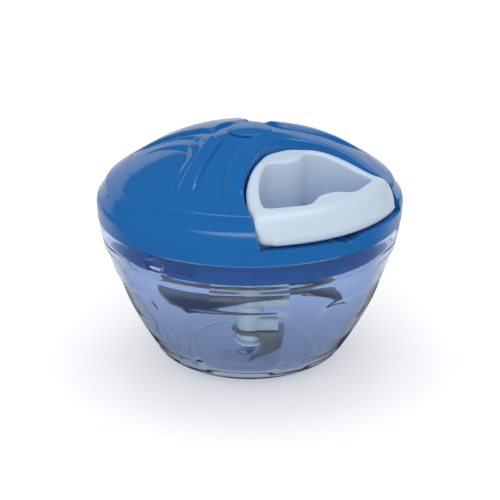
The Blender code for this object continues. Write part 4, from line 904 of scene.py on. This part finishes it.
# each area lamp's width, power, place and the height on the axle that it faces
lampLook = {"key": (0.8, 4.0, (-0.9, -0.9, 1.2), 0.06), "top": (0.9, 3.5, (0.2, 0.3, 1.4), 0.06),
            "fill": (0.7, 1.2, (-0.9, -1.1, 0.22), 0.04), "inside": (0.6, 11.0, (-1.0, -0.9, 0.35), 0.04)}
# turns in degrees, lengths in mm, and the clip range in metres
cameraView = {"turn": -39.5, "rise": 19.91, "distance": 900.0, "lens": 157.46, "aimDown": 15.24,
              "aimRight": 0.08, "sensor": 36, "clip": (0.01, 50)}


def behindObject(extra=0.0):
    # level unit vectors straight away from the camera, and to its right, both turned by extra
    turn = math.radians(cameraView["turn"] - extra)
    return (-math.sin(turn), math.cos(turn), 0), (math.cos(turn), math.sin(turn), 0)


def makeFloor():
    # pale and matt; as mirrored it is white only behind the object, as far as the backdrop reaches
    mesh = bpy.data.meshes.new("floor")
    reach = stageLook["floorReach"]
    mesh.from_pydata([(-reach, -reach, 0), (reach, -reach, 0), (reach, reach, 0), (-reach, reach, 0)], [],
                     [(0, 1, 2, 3)])
    floor = bpy.data.objects.new("floor", mesh)
    bpy.context.scene.collection.objects.link(floor)
    material, tree, shader = newMaterial("floorWhite")
    look = stageLook
    light = addNode(tree, "ShaderNodeLightPath").outputs
    place = addNode(tree, "ShaderNodeTexCoord").outputs["Object"]
    away, right = behindObject()
    back = dotNode(tree, place, away)
    side = mathNode(tree, "ABSOLUTE", dotNode(tree, place, right))
    spread = mathNode(tree, "MULTIPLY_ADD", back, look["floorSpread"], look["floorHalf"])
    inside = mathNode(tree, "MINIMUM", mathNode(tree, "SUBTRACT", spread, side), back)
    white = mathNode(tree, "MULTIPLY", mapRange(tree, inside, *look["floorBack"]), look["backdrop"])
    glossy = mathNode(tree, "MULTIPLY", white, light["Is Glossy Ray"])
    seen = mathNode(tree, "MULTIPLY_ADD", light["Is Camera Ray"], look["floorSeen"], glossy)
    through = mathNode(tree, "MINIMUM", light["Transmission Depth"], 1.0)
    total = mathNode(tree, "MULTIPLY_ADD", through, look["floorThrough"], seen)
    colour = mixColour(tree, light["Is Glossy Ray"], look["floorPale"], look["floorDark"])
    tree.links.new(colour, shader.inputs["Base Color"])
    tree.links.new(total, shader.inputs["Emission Strength"])
    shader.inputs["Emission Color"].default_value = (1, 1, 1, 1)
    shader.inputs["Roughness"].default_value = look["floorRough"]
    mesh.materials.append(material)


def makeWorld():
    # white as seen and through plastic; as mirrored, a white backdrop behind the object, no wider and
    # no higher than the studio's, and a bright strip high in front, in a dark room; what only lights
    # the object is even all round
    world = bpy.data.worlds.new("paleRoom")
    bpy.context.scene.world = world
    world.use_nodes = True
    tree = world.node_tree
    look = stageLook
    light = addNode(tree, "ShaderNodeLightPath").outputs
    through = mathNode(tree, "MINIMUM", light["Transmission Depth"], 1.0)
    seen = mathNode(tree, "MAXIMUM", light["Is Camera Ray"], through)
    place = addNode(tree, "ShaderNodeTexCoord").outputs["Generated"]
    height = addNode(tree, "ShaderNodeSeparateXYZ", [("Vector", place)]).outputs["Z"]
    level = addNode(tree, "ShaderNodeVectorMath", [(0, place), (1, (1, 1, 0))], operation="MULTIPLY")
    level = addNode(tree, "ShaderNodeVectorMath", [(0, level.outputs["Vector"])], operation="NORMALIZE")
    toward = dotNode(tree, level.outputs["Vector"], behindObject(look["backTurn"])[0])
    wide, high = mapRange(tree, toward, *look["backWidth"]), mapRange(tree, height, *look["backTop"])
    sheet = mathNode(tree, "MULTIPLY", mathNode(tree, "MULTIPLY", wide, high), look["backdrop"])
    part = 1.0
    for edge, source in (("stripLow", height), ("stripHigh", height), ("stripFront", toward)):
        part = mathNode(tree, "MULTIPLY", mapRange(tree, source, *look[edge]), part)
    band = mathNode(tree, "MULTIPLY_ADD", part, look["strip"], sheet)
    room = mathNode(tree, "MAXIMUM", band, look["roomDark"])
    mirrored = addNode(tree, "ShaderNodeMix", [("Factor", light["Is Glossy Ray"]), ("A", look["sky"]),
                                               ("B", room)])
    strength = addNode(tree, "ShaderNodeMix", [("Factor", seen), ("A", mirrored.outputs["Result"]),
                                               ("B", 1.0)])
    back = tree.nodes["Background"]
    tree.links.new(strength.outputs["Result"], back.inputs["Strength"])
    back.inputs["Color"].default_value = (1, 1, 1, 1)


def addLamp(name, only=None):
    # a square lamp facing the axle; where pieces are given, it lights only these
    size, power, place, height = lampLook[name]
    lamp = bpy.data.lights.new(name, "AREA")
    lamp.size = size
    lamp.energy = power
    item = bpy.data.objects.new(name, lamp)
    item.location = place
    item.rotation_euler = (Vector((0, 0, height)) - Vector(place)).to_track_quat("-Z", "Y").to_euler()
    item.visible_glossy = bool(only)      # the world and the floor are what the gloss of the lid shows
    if only:
        inside = bpy.data.collections.new("insideBowl")
        for piece in only:
            inside.objects.link(piece)
        item.light_linking.receiver_collection = inside
    bpy.context.scene.collection.objects.link(item)


def makeCamera():
    # at the distance from the middle of the rim, and aimed a little below it
    view = cameraView
    turn, rise = math.radians(view["turn"]), math.radians(view["rise"])
    back = Vector((math.sin(turn) * math.cos(rise), -math.cos(turn) * math.cos(rise), math.sin(rise)))
    right = Vector((math.cos(turn), math.sin(turn), 0))
    up = back.cross(right)
    rim = Vector((0, 0, rimLevel)) * mm
    camera = bpy.data.objects.new("camera", bpy.data.cameras.new("camera"))
    camera.location = rim + back * view["distance"] * mm
    aim = rim - up * view["aimDown"] * mm + right * view["aimRight"] * mm
    camera.rotation_euler = (camera.location - aim).to_track_quat("Z", "Y").to_euler()
    camera.data.lens = view["lens"]
    camera.data.sensor_width = view["sensor"]
    camera.data.clip_start, camera.data.clip_end = view["clip"]
    bpy.context.scene.collection.objects.link(camera)
    bpy.context.scene.camera = camera


makeFloor()
makeWorld()
for name in ("key", "top", "fill"):
    addLamp(name)
addLamp("inside", innerPieces)
makeCamera()
bpy.context.scene.view_settings.view_transform = "Standard"
print("stage set")

bpy.context.view_layer.update()
